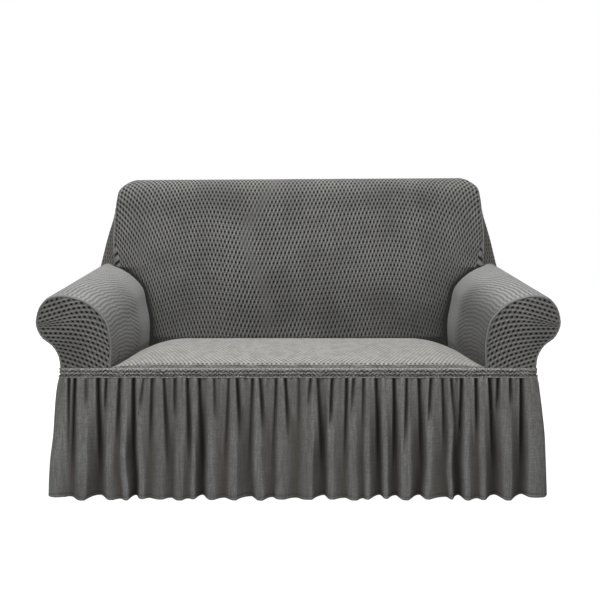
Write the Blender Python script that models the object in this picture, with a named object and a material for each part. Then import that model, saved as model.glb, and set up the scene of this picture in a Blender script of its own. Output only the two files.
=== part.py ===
"""Fitted stretch cover for a two-seat seat with rolled arms.

Knitted panels wrap the back, the seat and the arms.  A shirred elastic band
runs round the bottom of the knit, and a gathered skirt hangs from the band to
the floor.  The cover is hollow and open at the bottom.

Metres.  X runs left to right, Y from front to rear, Z up.  The origin is on
the floor under the middle of the cover.
"""

import math
from collections import namedtuple

import bmesh
import bpy
from mathutils import Vector

# --- Cloth and seams ---------------------------------------------------------
KNIT = 0.003            # thickness of the bubbled knit
SKIRT_CLOTH = 0.002     # thickness of the skirt's plain cloth
SEAM_GAP = 0.0003       # space between neighbouring pieces
UNDER_LAP = 0.004       # how far an arm panel reaches under a side panel
CURVE_GAP = 0.0007      # the same space where both pieces are curved

# --- Body of the cover -------------------------------------------------------
FRONT_Y = -0.410        # foremost point of the arm fronts
REAR_Y = 0.410          # outer face of the rear panel
DEPTH = REAR_Y - FRONT_Y
KNIT_BOTTOM_Z = 0.3733  # lower edge of every knitted panel
ARM_RIM_Y = -0.404      # outer face of an arm front at its seam
RIM_ROUND = 0.012       # length over which an arm panel curls in to that seam
RIM_INSET = 0.006       # how far it curls in

# --- Inside back -------------------------------------------------------------
FACE_FOOT_Y = 0.178     # the face of the back at its foot
FACE_FOOT_Z = 0.355
FACE_LEAN = 0.172       # rearward run of the face for each metre of height
FACE_CROWN = 0.012      # how far its middle stands proud
CROWN_LOW_Z = 0.410     # the crown starts above this height
CROWN_HIGH_Z = 0.900
CROWN_HALF_WIDTH = 0.62
TOP_TILT = 0.006        # rise of the top edge for each metre from left to right
TILT_LOW_Z = 0.70       # that tilt grows between these two heights
TILT_HIGH_Z = 0.90
SIDE_SEAM_Z = 0.645     # where the back's side seam meets the arm
SIDE_SWELL = 0.007      # how far the back's side panels stand out in the middle
BASE_FADE = 1.4         # how soon their shape leaves the arm's roll
TOP_FADE = 5            # and how late it takes on the rounded top

# --- Rear panel --------------------------------------------------------------
REAR_SEAM_Z = 0.897     # upper edge of the rear panel
REAR_TOP_HALF = 0.648   # its half-width there
REAR_BULGE = 0.006      # its middle stands this far behind its edges

# --- Seat --------------------------------------------------------------------
SEAT_SIDE_RUN = 0.14    # distance from an arm over which the seat falls away

# --- Elastic band ------------------------------------------------------------
BAND_TOP_Z = 0.373
BAND_BOTTOM_Z = 0.351
BAND_HALF_X = 0.6865
BAND_HALF_Y = 0.4105
BAND_CORNER = 0.022
BAND_THICK = 0.004
BAND_RIDGE = 0.0016     # how far each of its shirred rows stands out
BAND_RIDGES = 3
BAND_STEPS = 60         # points along its straight runs

# --- Skirt -------------------------------------------------------------------
SKIRT_TOP_Z = 0.3507
SKIRT_FLARE = 0.031     # how much further out the hem is than the band
FLARE_RISE = 0.40       # under 1, the gathers swell out close under the band
CORNER_OUT = 0.009      # how much further still at the corners
SKIRT_LEVELS = (0.0, 0.14, 0.5, 1.0)
FOLD_AT_TOP = 0.16      # share of a fold's depth that it has under the band
DEEPEST_VALLEY = 0.017
HEM_LIFT = 0.011        # how far the hem rises in a valley that deep
CORNER_STEPS = 3

ArmRow = namedtuple("ArmRow", "name front_x front_z rear_x rear_z")
TopRow = namedtuple("TopRow", "name y z half_width")
SeamRow = namedtuple("SeamRow", "name z half_width")
SeatRow = namedtuple("SeatRow", "name y z side_drop")
Fold = namedtuple("Fold", "ridge_x ridge_out valley_x valley_in")

# One arm's cross-section, from the band up the outside, over the roll and down
# to the crease beside the seat: at the front of the cover and at its rear.
ARM_SECTION = (
    ArmRow("band", 0.686, 0.3733, 0.684, 0.3733),
    ArmRow("side", 0.691, 0.407, 0.689, 0.431),
    ArmRow("undercut", 0.708, 0.436, 0.700, 0.487),
    ArmRow("under_roll", 0.737, 0.460, 0.721, 0.532),
    ArmRow("roll_low", 0.752, 0.489, 0.736, 0.563),
    ArmRow("roll_out", 0.753, 0.516, 0.741, 0.591),
    ArmRow("roll_high", 0.742, 0.550, 0.734, 0.625),
    ArmRow("shoulder", 0.716, 0.576, 0.715, 0.653),
    ArmRow("top", 0.678, 0.5835, 0.681, 0.6675),
    ArmRow("top_in", 0.645, 0.579, 0.649, 0.661),
    ArmRow("slope", 0.608, 0.566, 0.613, 0.644),
    ArmRow("slope_in", 0.574, 0.541, 0.579, 0.619),
    ArmRow("cheek", 0.548, 0.507, 0.549, 0.584),
    ArmRow("inner", 0.537, 0.460, 0.537, 0.535),
    ArmRow("inner_low", 0.535, 0.425, 0.5205, 0.458),
    ArmRow("crease", 0.538, 0.365, 0.5195, 0.365),
)
LAST_ROW = len(ARM_SECTION) - 1
ROLL_OUT = 5.0          # rows of the table above, counted from the band
TOP = 8.0
SIDE_SEAM = 8.75        # where the back's side seam meets the arm
SEAT_ROW = 14.85        # where the seat's edge meets the arm
CREASE = float(LAST_ROW)
ARM_FALL = 0.02         # how much lower the arm is at the face of the back than at its rear
ROLL_ROWS = (8.75, 8.375, 8, 7.5, 7, 6.5, 6, 5.5, 5)    # where a side panel stands
ARM_ROWS = (
    0, 1, 2, 2.5, 3, 3.5, 4, 4.5, *reversed(ROLL_ROWS), 9.5, 10, 11, 12, 13, 14, 15,
)

# The seam between the inside back and its side panel, above the arm.
SIDE_SEAM_ROWS = (
    SeamRow("low", 0.690, 0.657),
    SeamRow("middle", 0.745, 0.658),
    SeamRow("high", 0.805, 0.656),
    SeamRow("shoulder", 0.850, 0.6525),
)

# The rounded top of the back, from its face over to the rear seam.
TOP_ROWS = (
    TopRow("face_end", 0.267, 0.880, 0.649),
    TopRow("brow", 0.277, 0.919, 0.640),
    TopRow("crest_front", 0.299, 0.946, 0.611),
    TopRow("crest", 0.337, 0.958, 0.586),
    TopRow("crest_rear", 0.374, 0.946, 0.611),
    TopRow("nape", 0.400, 0.920, 0.640),
    TopRow("rear_seam", 0.410, 0.8973, 0.648),
)

# The seat from its front lower edge to the foot of the back.
SEAT_ROWS = (
    SeatRow("lower_edge", -0.4085, 0.3733, 0.0),
    SeatRow("front", -0.4075, 0.3800, 0.003),
    SeatRow("nose", -0.4010, 0.3855, 0.010),
    SeatRow("lip", -0.3820, 0.3885, 0.014),
    SeatRow("fore", -0.3000, 0.3940, 0.022),
    SeatRow("middle", -0.1500, 0.3995, 0.029),
    SeatRow("rear", 0.0200, 0.3990, 0.030),
    SeatRow("hollow", 0.1200, 0.3950, 0.030),
    SeatRow("foot", 0.1845, 0.3930, 0.030),
)

# The skirt's main folds along the front, left to right, at the hem.
FRONT_FOLDS = (
    Fold(-0.672, 0.011, -0.6465, -0.004),
    Fold(-0.604, 0.014, -0.5670, -0.016),
    Fold(-0.528, 0.012, -0.5105, -0.002),
    Fold(-0.491, 0.013, -0.4708, -0.015),
    Fold(-0.445, 0.008, -0.4227, -0.006),
    Fold(-0.389, 0.010, -0.3632, -0.007),
    Fold(-0.329, 0.014, -0.3093, -0.003),
    Fold(-0.298, 0.009, -0.2725, -0.016),
    Fold(-0.2385, 0.012, -0.2102, -0.007),
    Fold(-0.176, 0.013, -0.1394, -0.008),
    Fold(-0.108, 0.015, -0.0742, -0.008),
    Fold(-0.040, 0.010, -0.0034, -0.007),
    Fold(0.042, 0.011, 0.0731, -0.015),
    Fold(0.104, 0.010, 0.1326, -0.006),
    Fold(0.164, 0.014, 0.1836, -0.004),
    Fold(0.2034, 0.010, 0.2317, -0.016),
    Fold(0.2516, 0.007, 0.2770, -0.013),
    Fold(0.3150, 0.013, 0.3535, -0.016),
    Fold(0.3819, 0.010, 0.4215, -0.007),
    Fold(0.4385, 0.010, 0.4612, -0.015),
    Fold(0.4867, 0.014, 0.5094, -0.004),
    Fold(0.5300, 0.012, 0.5660, -0.017),
    Fold(0.6040, 0.014, 0.6411, -0.014),
)

# --- Colours (linear) --------------------------------------------------------
KNIT_GREY = (0.105, 0.102, 0.094)
SEAT_GREY = (0.180, 0.175, 0.162)
BAND_GREY = (0.130, 0.127, 0.118)
SKIRT_GREY = (0.088, 0.084, 0.077)


# --- Small helpers -----------------------------------------------------------
def mix(low, high, share):
    return low + (high - low) * share


def clamp(value, low=0.0, high=1.0):
    return min(max(value, low), high)


def ease(share):
    """Smooth step from 0 to 1."""
    share = clamp(share)
    return share * share * (3.0 - 2.0 * share)


def spline(points, at):
    """Catmull-Rom curve through the points; `at` counts along them."""
    last = len(points) - 1
    at = clamp(at, 0.0, last)
    k = min(int(at), last - 1)
    f = at - k
    start, end = points[k], points[k + 1]
    before = points[k - 1] if k > 0 else [2 * a - b for a, b in zip(start, end)]
    after = points[k + 2] if k + 2 <= last else [2 * b - a for a, b in zip(start, end)]
    return [
        0.5 * (2 * b + (c - a) * f + (2 * a - 5 * b + 4 * c - d) * f ** 2
               + (3 * b - a - 3 * c + d) * f ** 3)
        for a, b, c, d in zip(before, start, end, after)
    ]


def tilt_share(z):
    return ease((z - TILT_LOW_Z) / (TILT_HIGH_Z - TILT_LOW_Z))


def wipe_scene():
    for thing in list(bpy.data.objects):
        bpy.data.objects.remove(thing, do_unlink=True)


def cloth_material(name, colour):
    material = bpy.data.materials.new(name)
    material.use_nodes = True
    shader = material.node_tree.nodes["Principled BSDF"]
    shader.inputs["Base Color"].default_value = (*colour, 1.0)
    shader.inputs["Roughness"].default_value = 0.92
    shader.inputs["Metallic"].default_value = 0.0
    return material


def add_object(name, mesh_data, material):
    """Make one closed object from bmesh data, with its faces pointing out."""
    bmesh.ops.recalc_face_normals(mesh_data, faces=mesh_data.faces)
    mesh = bpy.data.meshes.new(name)
    mesh_data.to_mesh(mesh)
    mesh_data.free()
    mesh.materials.append(material)
    mesh.shade_smooth()
    thing = bpy.data.objects.new(name, mesh)
    bpy.context.scene.collection.objects.link(thing)
    return thing


def sheet(name, columns, rows, place, material, mirrored=False, ring=False):
    """Close a sheet of cloth: outer face, inner face and rim.

    `place(u, v, layer)` gives a point of the sheet's outer face (layer 0) or
    inner face (layer 1).  A ring joins its last column to its first.
    """
    data = bmesh.new()
    sign = -1.0 if mirrored else 1.0
    grid = []
    for layer in (0, 1):
        face = []
        for v in rows:
            points = [Vector(place(u, v, layer)) for u in columns]
            face.append([data.verts.new((sign * p.x, p.y, p.z)) for p in points])
        grid.append(face)

    outer, inner = grid
    last_column = len(columns) if ring else len(columns) - 1
    for j in range(len(rows) - 1):
        for i in range(last_column):
            k = (i + 1) % len(columns)
            data.faces.new((outer[j][i], outer[j][k], outer[j + 1][k], outer[j + 1][i]))
            data.faces.new((inner[j][i], inner[j + 1][i], inner[j + 1][k], inner[j][k]))
    for i in range(last_column):
        k = (i + 1) % len(columns)
        data.faces.new((outer[0][i], inner[0][i], inner[0][k], outer[0][k]))
        data.faces.new((outer[-1][i], outer[-1][k], inner[-1][k], inner[-1][i]))
    if not ring:
        for j in range(len(rows) - 1):
            data.faces.new((outer[j][0], outer[j + 1][0], inner[j + 1][0], inner[j][0]))
            data.faces.new((outer[j][-1], inner[j][-1], inner[j + 1][-1], outer[j + 1][-1]))
    return add_object(name, data, material)


# --- The arms ----------------------------------------------------------------
def arm_outline(row, y):
    """Outer face of the right arm's section (x, z), before its rim curls in."""
    share = (y - FRONT_Y) / DEPTH
    points = [
        (mix(r.front_x, r.rear_x, share), mix(r.front_z, r.rear_z, share))
        for r in ARM_SECTION
    ]
    return spline(points, row)


def arm_section(row, y, depth=0.0):
    """Point (x, z) of the right arm's section, `depth` under its outer face."""
    x, z = arm_outline(row, y)
    x0, z0 = arm_outline(max(row - 0.05, 0.0), y)
    x1, z1 = arm_outline(min(row + 0.05, CREASE), y)
    length = math.hypot(x1 - x0, z1 - z0)
    x -= depth * (z1 - z0) / length
    z += depth * (x1 - x0) / length
    if row <= 0.0:
        z = KNIT_BOTTOM_Z
    return x, z


def rim_inset(y):
    """How far the arm panel curls in near its front seam."""
    left = clamp((ARM_RIM_Y + RIM_ROUND - y) / RIM_ROUND)
    return RIM_INSET * (1.0 - math.sqrt(1.0 - left * left))


def face_y(z):
    """Front face of the back, at its sides, at a height."""
    return FACE_FOOT_Y + FACE_LEAN * (z - FACE_FOOT_Z)


def side_base_y(row):
    """Where the back's side panel stands on the arm, row by row."""
    x, z = arm_section(SIDE_SEAM, face_y(SIDE_SEAM_Z))
    front = face_y(z) + KNIT + SEAM_GAP
    rear = REAR_Y - KNIT - SEAM_GAP
    return mix(front, rear, clamp((SIDE_SEAM - row) / (SIDE_SEAM - ROLL_OUT)))


def arm_end_y(row, layer):
    """Rear edge of the arm panel."""
    if row <= ROLL_OUT:
        return REAR_Y - KNIT - SEAM_GAP
    if row < SIDE_SEAM:
        return min(side_base_y(row) + UNDER_LAP, REAR_Y - KNIT - SEAM_GAP)
    y = face_y(ARM_SECTION[int(row)].rear_z)
    for _ in range(3):
        x, z = arm_section(row, y, KNIT * layer)
        y = face_y(z) - face_crown(x, z) - CURVE_GAP
    return y


def arm_point(along, row, layer):
    """A point of the right arm panel; `along` runs from its front rim to its end."""
    start = ARM_RIM_Y + KNIT + SEAM_GAP
    if along <= RIM_ROUND:
        y = start + along
    else:
        y = mix(start + RIM_ROUND, arm_end_y(row, layer), along - RIM_ROUND)
    x, z = arm_section(row, y, KNIT * layer + rim_inset(y))
    return x, y, z


def build_arm_panel(side, mirrored, material):
    columns = (0.0, 0.003, 0.007, RIM_ROUND, RIM_ROUND + 0.25, RIM_ROUND + 0.5,
               RIM_ROUND + 0.75, RIM_ROUND + 1.0)
    sheet("arm_panel_" + side, columns, ARM_ROWS, arm_point, material, mirrored)


def arm_front_point(across, row, layer):
    """A point of the right arm front; rows climb both sides of its outline."""
    inner_row = mix(CREASE, TOP, row / TOP)
    outer_x, outer_z = arm_section(row, FRONT_Y, RIM_INSET)
    inner_x, inner_z = arm_section(inner_row, FRONT_Y, RIM_INSET)
    x = mix(outer_x, inner_x, across)
    z = mix(outer_z, inner_z, across)
    swell = (ARM_RIM_Y - FRONT_Y) * (1.0 - (2.0 * across - 1.0) ** 2)
    swell *= 1.0 - (row / TOP) ** 4
    return x, ARM_RIM_Y - swell + KNIT * layer, max(z, KNIT_BOTTOM_Z)


def build_arm_front(side, mirrored, material):
    columns = (0.0, 0.18, 0.38, 0.62, 0.82, 1.0)
    rows = (0.0, 1.0, 2.0, 3.0, 4.0, 5.0, 6.0, 6.8, 7.4, 7.8)
    sheet("arm_front_" + side, columns, rows, arm_front_point, material, mirrored)


# --- The inside back ---------------------------------------------------------
def face_crown(x, z):
    """How far the middle of the back's face stands forward."""
    height = clamp((z - CROWN_LOW_Z) / (CROWN_HIGH_Z - CROWN_LOW_Z))
    width = clamp(1.0 - (x / CROWN_HALF_WIDTH) ** 2)
    return FACE_CROWN * width * math.sin(math.pi * height) ** 2


def back_rows():
    """Rows (y, z, half_width, lean_in) of the inside back, from its foot over the top.

    Beside the arms its edge covers the arm panel's rear rim.
    """
    rows = []
    for row in (15, 14.6, 14, 13, 12, 11, 10, 9.5, SIDE_SEAM):
        y = face_y(ARM_SECTION[int(row)].rear_z - ARM_FALL)
        x, z = arm_section(row, y, KNIT)
        rows.append((face_y(z), z, x))
    x, z = arm_section(SIDE_SEAM, face_y(SIDE_SEAM_Z))
    rows.append((face_y(z), z + SEAM_GAP, x))
    rows += [(face_y(r.z), r.z, r.half_width) for r in SIDE_SEAM_ROWS]
    rows += [(r.y, r.z, r.half_width) for r in TOP_ROWS]
    return rows


def back_surface(rows):
    """Outer face of the inside back: u is -1 to 1 across, v counts the rows."""
    def surface(u, v):
        y, z, half = spline(rows, v)
        x = half * clamp(u, -1.0, 1.0)
        rise = TOP_TILT * x * tilt_share(z)
        return x, y - face_crown(x, z), z + rise
    return surface


def back_layers(rows):
    """The inside back's two faces; its inner face lies under the profile."""
    surface = back_surface(rows)

    def place(u, v, layer):
        x, y, z = surface(u, v)
        dy, dz = profile_normal(rows, v)
        return x, y - KNIT * layer * dy, z - KNIT * layer * dz
    return place


def profile_normal(rows, v):
    """Outward (y, z) direction of the back's side profile."""
    last = len(rows) - 1
    if v >= last:
        return 1.0, 0.0
    low = spline(rows, max(v - 0.1, 0.0))
    high = spline(rows, min(v + 0.1, last))
    run, climb = high[0] - low[0], high[1] - low[1]
    length = math.hypot(run, climb)
    return -climb / length, run / length


def top_steps(rows):
    """Places along the rounded top where the side panels have a point, too."""
    last = len(rows) - 1
    corner = last - len(TOP_ROWS) + 1
    span = SIDE_SEAM - ROLL_OUT
    return [mix(corner, last, (SIDE_SEAM - row) / span) for row in ROLL_ROWS]


def build_back_panel(material):
    rows = back_rows()
    steps = top_steps(rows)
    halfway = [0.5 * (low + high) for low, high in zip(steps, steps[1:])]
    levels = sorted([*range(int(steps[0])), *steps, *halfway])
    columns = [math.sin(math.pi * 0.5 * k / 7.0) for k in range(-7, 8)]
    sheet("back_panel", columns, levels, back_layers(rows), material)


# --- The back's side panels --------------------------------------------------
def side_panel_edges(side_sign):
    """The four edges of a side panel, as functions of 0 to 1, drawn on the right."""
    rows = back_rows()
    corner = len(rows) - len(TOP_ROWS)           # where the top starts to round
    first = corner - len(SIDE_SEAM_ROWS) - 1     # the seam row that stands on the arm

    def tucked(v):
        y, z, half = spline(rows, v)
        dy, dz = profile_normal(rows, v)
        lap = KNIT + 2.0 * CURVE_GAP
        rise = side_sign * TOP_TILT * half * tilt_share(z)
        return Vector((half, y - lap * dy, z - lap * dz + rise))

    def base(u):
        row = mix(SIDE_SEAM, ROLL_OUT, u)
        y = side_base_y(row)
        x, z = arm_section(row, y, -CURVE_GAP)
        return Vector((x, y, z))

    def front(v):
        return tucked(mix(first, corner, v)) + (base(0.0) - tucked(first)) * (1.0 - v)

    def top(u):
        return tucked(mix(corner, len(rows) - 1, u))

    def rear(v):
        low, high = base(1.0), top(1.0)
        return low + (high - low) * v

    return base, front, top, rear


def side_surface(side_sign):
    """Outer face of a side panel, stretched between its four edges."""
    base, front, top, rear = side_panel_edges(side_sign)

    def surface(u, v):
        u, v = clamp(u), clamp(v)
        point = front(v).lerp(rear(v), u)
        point += (base(u) - base(0.0).lerp(base(1.0), u)) * (1.0 - v) ** BASE_FADE
        point += (top(u) - top(0.0).lerp(top(1.0), u)) * v ** TOP_FADE
        point.x += SIDE_SWELL * math.sin(math.pi * u) * math.sin(math.pi * v)
        return point
    return surface


def side_layers(side_sign):
    """A side panel's two faces; the inner one keeps inside all four edges."""
    surface = side_surface(side_sign)
    step = 0.02

    def place(u, v, layer):
        here = surface(u, v)
        if v <= 0.0:
            row = mix(SIDE_SEAM, ROLL_OUT, u)
            x0, z0 = arm_section(row - 0.1, here.y)
            x1, z1 = arm_section(row + 0.1, here.y)
            up_roll = Vector((x1 - x0, 0.0, z1 - z0)).normalized()
            return here + up_roll * KNIT * layer
        along = surface(u + step, v) - surface(u - step, v)
        up = surface(u, v + step) - surface(u, v - step)
        out = along.cross(up).normalized()
        if out.x < 0.0:
            out = -out
        if u <= 0.0 or u >= 1.0:
            out.y = 0.0
        return here - out.normalized() * KNIT * layer
    return place


def build_back_side(side, mirrored, material):
    span = SIDE_SEAM - ROLL_OUT
    columns = [(SIDE_SEAM - row) / span for row in ROLL_ROWS]
    rows = (0.0, 0.12, 0.28, 0.46, 0.64, 0.78, 0.88, 0.95, 1.0)
    side_sign = -1.0 if mirrored else 1.0
    sheet("back_side_" + side, columns, rows, side_layers(side_sign), material, mirrored)


# --- The rear panel ----------------------------------------------------------
def rear_rows():
    """Rows (z, half_width) of the rear panel, from the band to its top."""
    rows = []
    for row in (0.0, 1.0, 2.0, 2.5, 3.0, 3.5, 4.0, 4.5, 5.0):
        x, z = arm_section(row, REAR_Y)
        rows.append((z, x))
    low_z, low_x = rows[-1]
    for share in (0.25, 0.5, 0.75, 1.0):
        rows.append((mix(low_z, REAR_SEAM_Z, share), mix(low_x, REAR_TOP_HALF, share)))
    return rows


def build_rear_panel(material):
    rows = rear_rows()

    def place(u, v, layer):
        z, half = rows[v]
        height = (z - KNIT_BOTTOM_Z) / (REAR_SEAM_Z - KNIT_BOTTOM_Z)
        swell = REAR_BULGE * (1.0 - u * u) * math.sin(math.pi * height)
        rise = TOP_TILT * half * u * tilt_share(z)
        return half * u, REAR_Y + swell - KNIT * layer, z + rise

    columns = [k / 5.0 for k in range(-5, 6)]
    sheet("outer_back", columns, range(len(rows)), place, material)


# --- The seat ----------------------------------------------------------------
def seat_surface(u, v):
    """Outer face of the seat: u is -1 to 1 across, v counts the rows."""
    y, z, drop = spline([(r.y, r.z, r.side_drop) for r in SEAT_ROWS], v)
    half = arm_section(SEAT_ROW, y)[0] - SEAM_GAP
    x = half * clamp(u, -1.0, 1.0)
    from_arm = clamp((half - abs(x)) / SEAT_SIDE_RUN)
    return x, y, z - drop * (1.0 - from_arm) ** 2


def seat_point(u, v, layer):
    x, y, z = seat_surface(u, v)
    if layer == 1:
        before = seat_surface(u, max(v - 0.1, 0.0))
        after = seat_surface(u, min(v + 0.1, len(SEAT_ROWS) - 1))
        run, climb = after[1] - before[1], after[2] - before[2]
        length = math.hypot(run, climb)
        y += KNIT * climb / length
        z -= KNIT * run / length
    if v <= 0:
        z = KNIT_BOTTOM_Z
    if v >= len(SEAT_ROWS) - 1:
        y = face_y(z) - face_crown(x, z) - SEAM_GAP
    return x, y, z


def build_seat(material):
    columns = [-1.0, -0.95, -0.88, -0.78, -0.55, -0.28, 0.0,
               0.28, 0.55, 0.78, 0.88, 0.95, 1.0]
    sheet("seat_panel", columns, range(len(SEAT_ROWS)), seat_point, material)


# --- Rings round the bottom --------------------------------------------------
def ring_length(half_x, half_y, corner):
    straight = 4.0 * (half_x - corner) + 4.0 * (half_y - corner)
    return straight + 2.0 * math.pi * corner


def ring_point(half_x, half_y, corner, s):
    """Point and outward direction at a distance `s` along a rounded rectangle.

    The distance starts at the middle of the front and runs to the right.
    """
    length = ring_length(half_x, half_y, corner)
    s = s % length
    quarter = 0.5 * math.pi * corner
    legs = (
        (half_x - corner, (0.0, -half_y), (1.0, 0.0)),
        (2.0 * (half_y - corner), (half_x, -half_y + corner), (0.0, 1.0)),
        (2.0 * (half_x - corner), (half_x - corner, half_y), (-1.0, 0.0)),
        (2.0 * (half_y - corner), (-half_x, half_y - corner), (0.0, -1.0)),
        (half_x - corner, (-half_x + corner, -half_y), (1.0, 0.0)),
    )
    for leg, (run, start, way) in enumerate(legs):
        if s <= run or leg == len(legs) - 1:
            return (start[0] + way[0] * s, start[1] + way[1] * s), (way[1], -way[0])
        s -= run
        if s < quarter:
            turn = math.atan2(-way[0], way[1]) + s / corner
            end = (start[0] + way[0] * run, start[1] + way[1] * run)
            centre = (end[0] - way[1] * corner, end[1] + way[0] * corner)
            out = (math.cos(turn), math.sin(turn))
            return (centre[0] + out[0] * corner, centre[1] + out[1] * corner), out
        s -= quarter
    return legs[0][1], (0.0, -1.0)


def band_section():
    """(out, z) points of the band's outer side, with its shirred rows."""
    points = []
    pitch = (BAND_TOP_Z - BAND_BOTTOM_Z) / BAND_RIDGES
    for ridge in range(BAND_RIDGES):
        low = BAND_BOTTOM_Z + ridge * pitch
        points.append((0.0, low))
        points.append((BAND_RIDGE, low + pitch * 0.5))
    points.append((0.0, BAND_TOP_Z))
    return points


def build_band(material):
    length = ring_length(BAND_HALF_X, BAND_HALF_Y, BAND_CORNER)
    quarter = 0.5 * math.pi * BAND_CORNER
    columns = []
    s = 0.0
    for run in (BAND_HALF_X - BAND_CORNER, 2.0 * (BAND_HALF_Y - BAND_CORNER),
                2.0 * (BAND_HALF_X - BAND_CORNER), 2.0 * (BAND_HALF_Y - BAND_CORNER),
                BAND_HALF_X - BAND_CORNER):
        steps = max(2, round(run / length * BAND_STEPS))
        columns += [s + run * k / steps for k in range(steps)]
        s += run
        if s < length - quarter:
            columns += [s + quarter * k / CORNER_STEPS for k in range(CORNER_STEPS)]
            s += quarter
    section = band_section()

    def place(u, v, layer):
        (x, y), (nx, ny) = ring_point(BAND_HALF_X, BAND_HALF_Y, BAND_CORNER, u)
        out, z = section[v]
        if layer == 1:
            out = -BAND_THICK
        return x + nx * out, y + ny * out, z

    sheet("elastic_band", columns, range(len(section)), place, material, ring=True)


def skirt_knots():
    """Knots (s, offset) of the main folds, right round from the front's middle.

    The front follows its table; the sides and the rear are as uneven, by rule.
    """
    length = ring_length(BAND_HALF_X, BAND_HALF_Y, BAND_CORNER)
    knots = []
    for fold in FRONT_FOLDS:
        knots.append((fold.ridge_x % length, fold.ridge_out))
        knots.append((fold.valley_x % length, fold.valley_in))
    front_end = FRONT_FOLDS[-1].valley_x
    front_start = length + FRONT_FOLDS[0].ridge_x
    folds = 56
    pitch = (front_start - front_end) / (folds + 0.5)
    for k in range(folds):
        sway = 0.22 * math.sin(2.3 * k) + 0.15 * math.sin(5.9 * k + 1.0)
        ridge = front_end + pitch * (k + 0.55 + sway)
        valley = front_end + pitch * (k + 1.05 + 0.5 * sway + 0.10 * math.sin(3.7 * k))
        knots.append((ridge, 0.0115 + 0.003 * math.sin(1.7 * k)))
        knots.append((valley, -0.0095 - 0.006 * math.sin(2.9 * k + 0.6)))
    return sorted(knots)


def fold_offset(knots, length, s):
    """Offset of the folds at s, easing from each knot to the next."""
    s = s % length
    below = [knot for knot in knots if knot[0] <= s]
    above = [knot for knot in knots if knot[0] > s]
    start = below[-1] if below else (knots[-1][0] - length, knots[-1][1])
    end = above[0] if above else (knots[0][0] + length, knots[0][1])
    share = (s - start[0]) / (end[0] - start[0])
    return mix(start[1], end[1], 0.5 - 0.5 * math.cos(math.pi * share))


def build_skirt(material):
    half_x = BAND_HALF_X
    half_y = BAND_HALF_Y
    length = ring_length(half_x, half_y, BAND_CORNER)
    knots = skirt_knots()
    columns = []
    for k, (s, offset) in enumerate(knots):
        following = knots[k + 1][0] if k + 1 < len(knots) else knots[0][0] + length
        columns += [s, mix(s, following, 0.27), mix(s, following, 0.73)]

    def surface(u, v):
        (x, y), (nx, ny) = ring_point(half_x, half_y, BAND_CORNER, u)
        corner = clamp(1.6 * min(abs(nx), abs(ny)))
        offset = fold_offset(knots, length, u)
        grown = mix(FOLD_AT_TOP, 1.0, ease(v))
        out = SKIRT_FLARE * v ** FLARE_RISE + offset * grown
        out += CORNER_OUT * corner * v
        lift = HEM_LIFT * clamp(-offset / DEEPEST_VALLEY) * v
        return Vector((x + nx * out, y + ny * out, mix(SKIRT_TOP_Z, 0.0, v) + lift))

    def place(u, v, layer):
        here = surface(u, v)
        if layer == 0:
            return here
        along = surface(u + 0.002, v) - surface(u - 0.002, v)
        out = Vector((along.y, -along.x, 0.0)).normalized()
        return here - out * SKIRT_CLOTH

    sheet("skirt", columns, SKIRT_LEVELS, place, material, ring=True)


# --- The whole cover ---------------------------------------------------------
def build_cover():
    wipe_scene()
    knit = cloth_material("bubble_knit", KNIT_GREY)
    seat = cloth_material("seat_knit", SEAT_GREY)
    band = cloth_material("shirred_elastic", BAND_GREY)
    skirt = cloth_material("skirt_cloth", SKIRT_GREY)
    build_back_panel(knit)
    build_seat(seat)
    build_rear_panel(knit)
    for side, mirrored in (("left", True), ("right", False)):
        build_arm_panel(side, mirrored, knit)
        build_arm_front(side, mirrored, knit)
        build_back_side(side, mirrored, knit)
    build_band(band)
    build_skirt(skirt)


build_cover()
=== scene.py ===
"""Looks of a fitted stretch cover: bubbled knit, a shirred band and a gathered skirt.

Every panel repeats the CAD model's own surface at a finer step.  The knit's
dimples are pressed into the panels, row by row, the band gets its crinkles and
the skirt its small gathers.  The thin seams and the piping are only here.

Metres, in the CAD model's frame: X runs left to right, Y from front to rear,
Z up, and the origin is on the floor under the middle of the cover.
"""

import math
from collections import namedtuple

import bpy
import numpy as np
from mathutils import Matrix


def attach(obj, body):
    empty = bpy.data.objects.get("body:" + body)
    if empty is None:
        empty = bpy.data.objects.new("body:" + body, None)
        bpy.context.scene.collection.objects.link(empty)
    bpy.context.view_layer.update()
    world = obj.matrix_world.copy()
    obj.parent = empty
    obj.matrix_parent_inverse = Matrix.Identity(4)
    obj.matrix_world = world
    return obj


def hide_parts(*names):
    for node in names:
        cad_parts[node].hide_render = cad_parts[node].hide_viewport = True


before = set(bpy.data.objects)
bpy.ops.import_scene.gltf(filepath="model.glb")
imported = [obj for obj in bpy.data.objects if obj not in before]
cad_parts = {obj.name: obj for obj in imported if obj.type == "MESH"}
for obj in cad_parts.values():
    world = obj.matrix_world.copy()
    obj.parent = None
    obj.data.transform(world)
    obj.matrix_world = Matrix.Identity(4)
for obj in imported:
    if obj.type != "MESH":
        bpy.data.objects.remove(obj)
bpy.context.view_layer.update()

# --- Cloth and seams, as in the CAD model ------------------------------------
KNIT = 0.003            # thickness of the bubbled knit
SKIRT_CLOTH = 0.002     # thickness of the skirt's plain cloth
SEAM_GAP = 0.0003       # space between neighbouring pieces
UNDER_LAP = 0.004       # how far an arm panel reaches under a side panel
CURVE_GAP = 0.0007      # the same space where both pieces are curved

# --- Body of the cover -------------------------------------------------------
FRONT_Y = -0.410
REAR_Y = 0.410
DEPTH = REAR_Y - FRONT_Y
KNIT_BOTTOM_Z = 0.3733
ARM_RIM_Y = -0.404
RIM_ROUND = 0.012
RIM_INSET = 0.006
ONTO_BAND = 0.0038      # how far an arm's front comes forward to stand on the band
FOOT_RISE = 0.014       # and the height by which it is back in place
PANEL_START_Y = ARM_RIM_Y + KNIT + SEAM_GAP
PANEL_END_Y = REAR_Y - KNIT - SEAM_GAP

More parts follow.
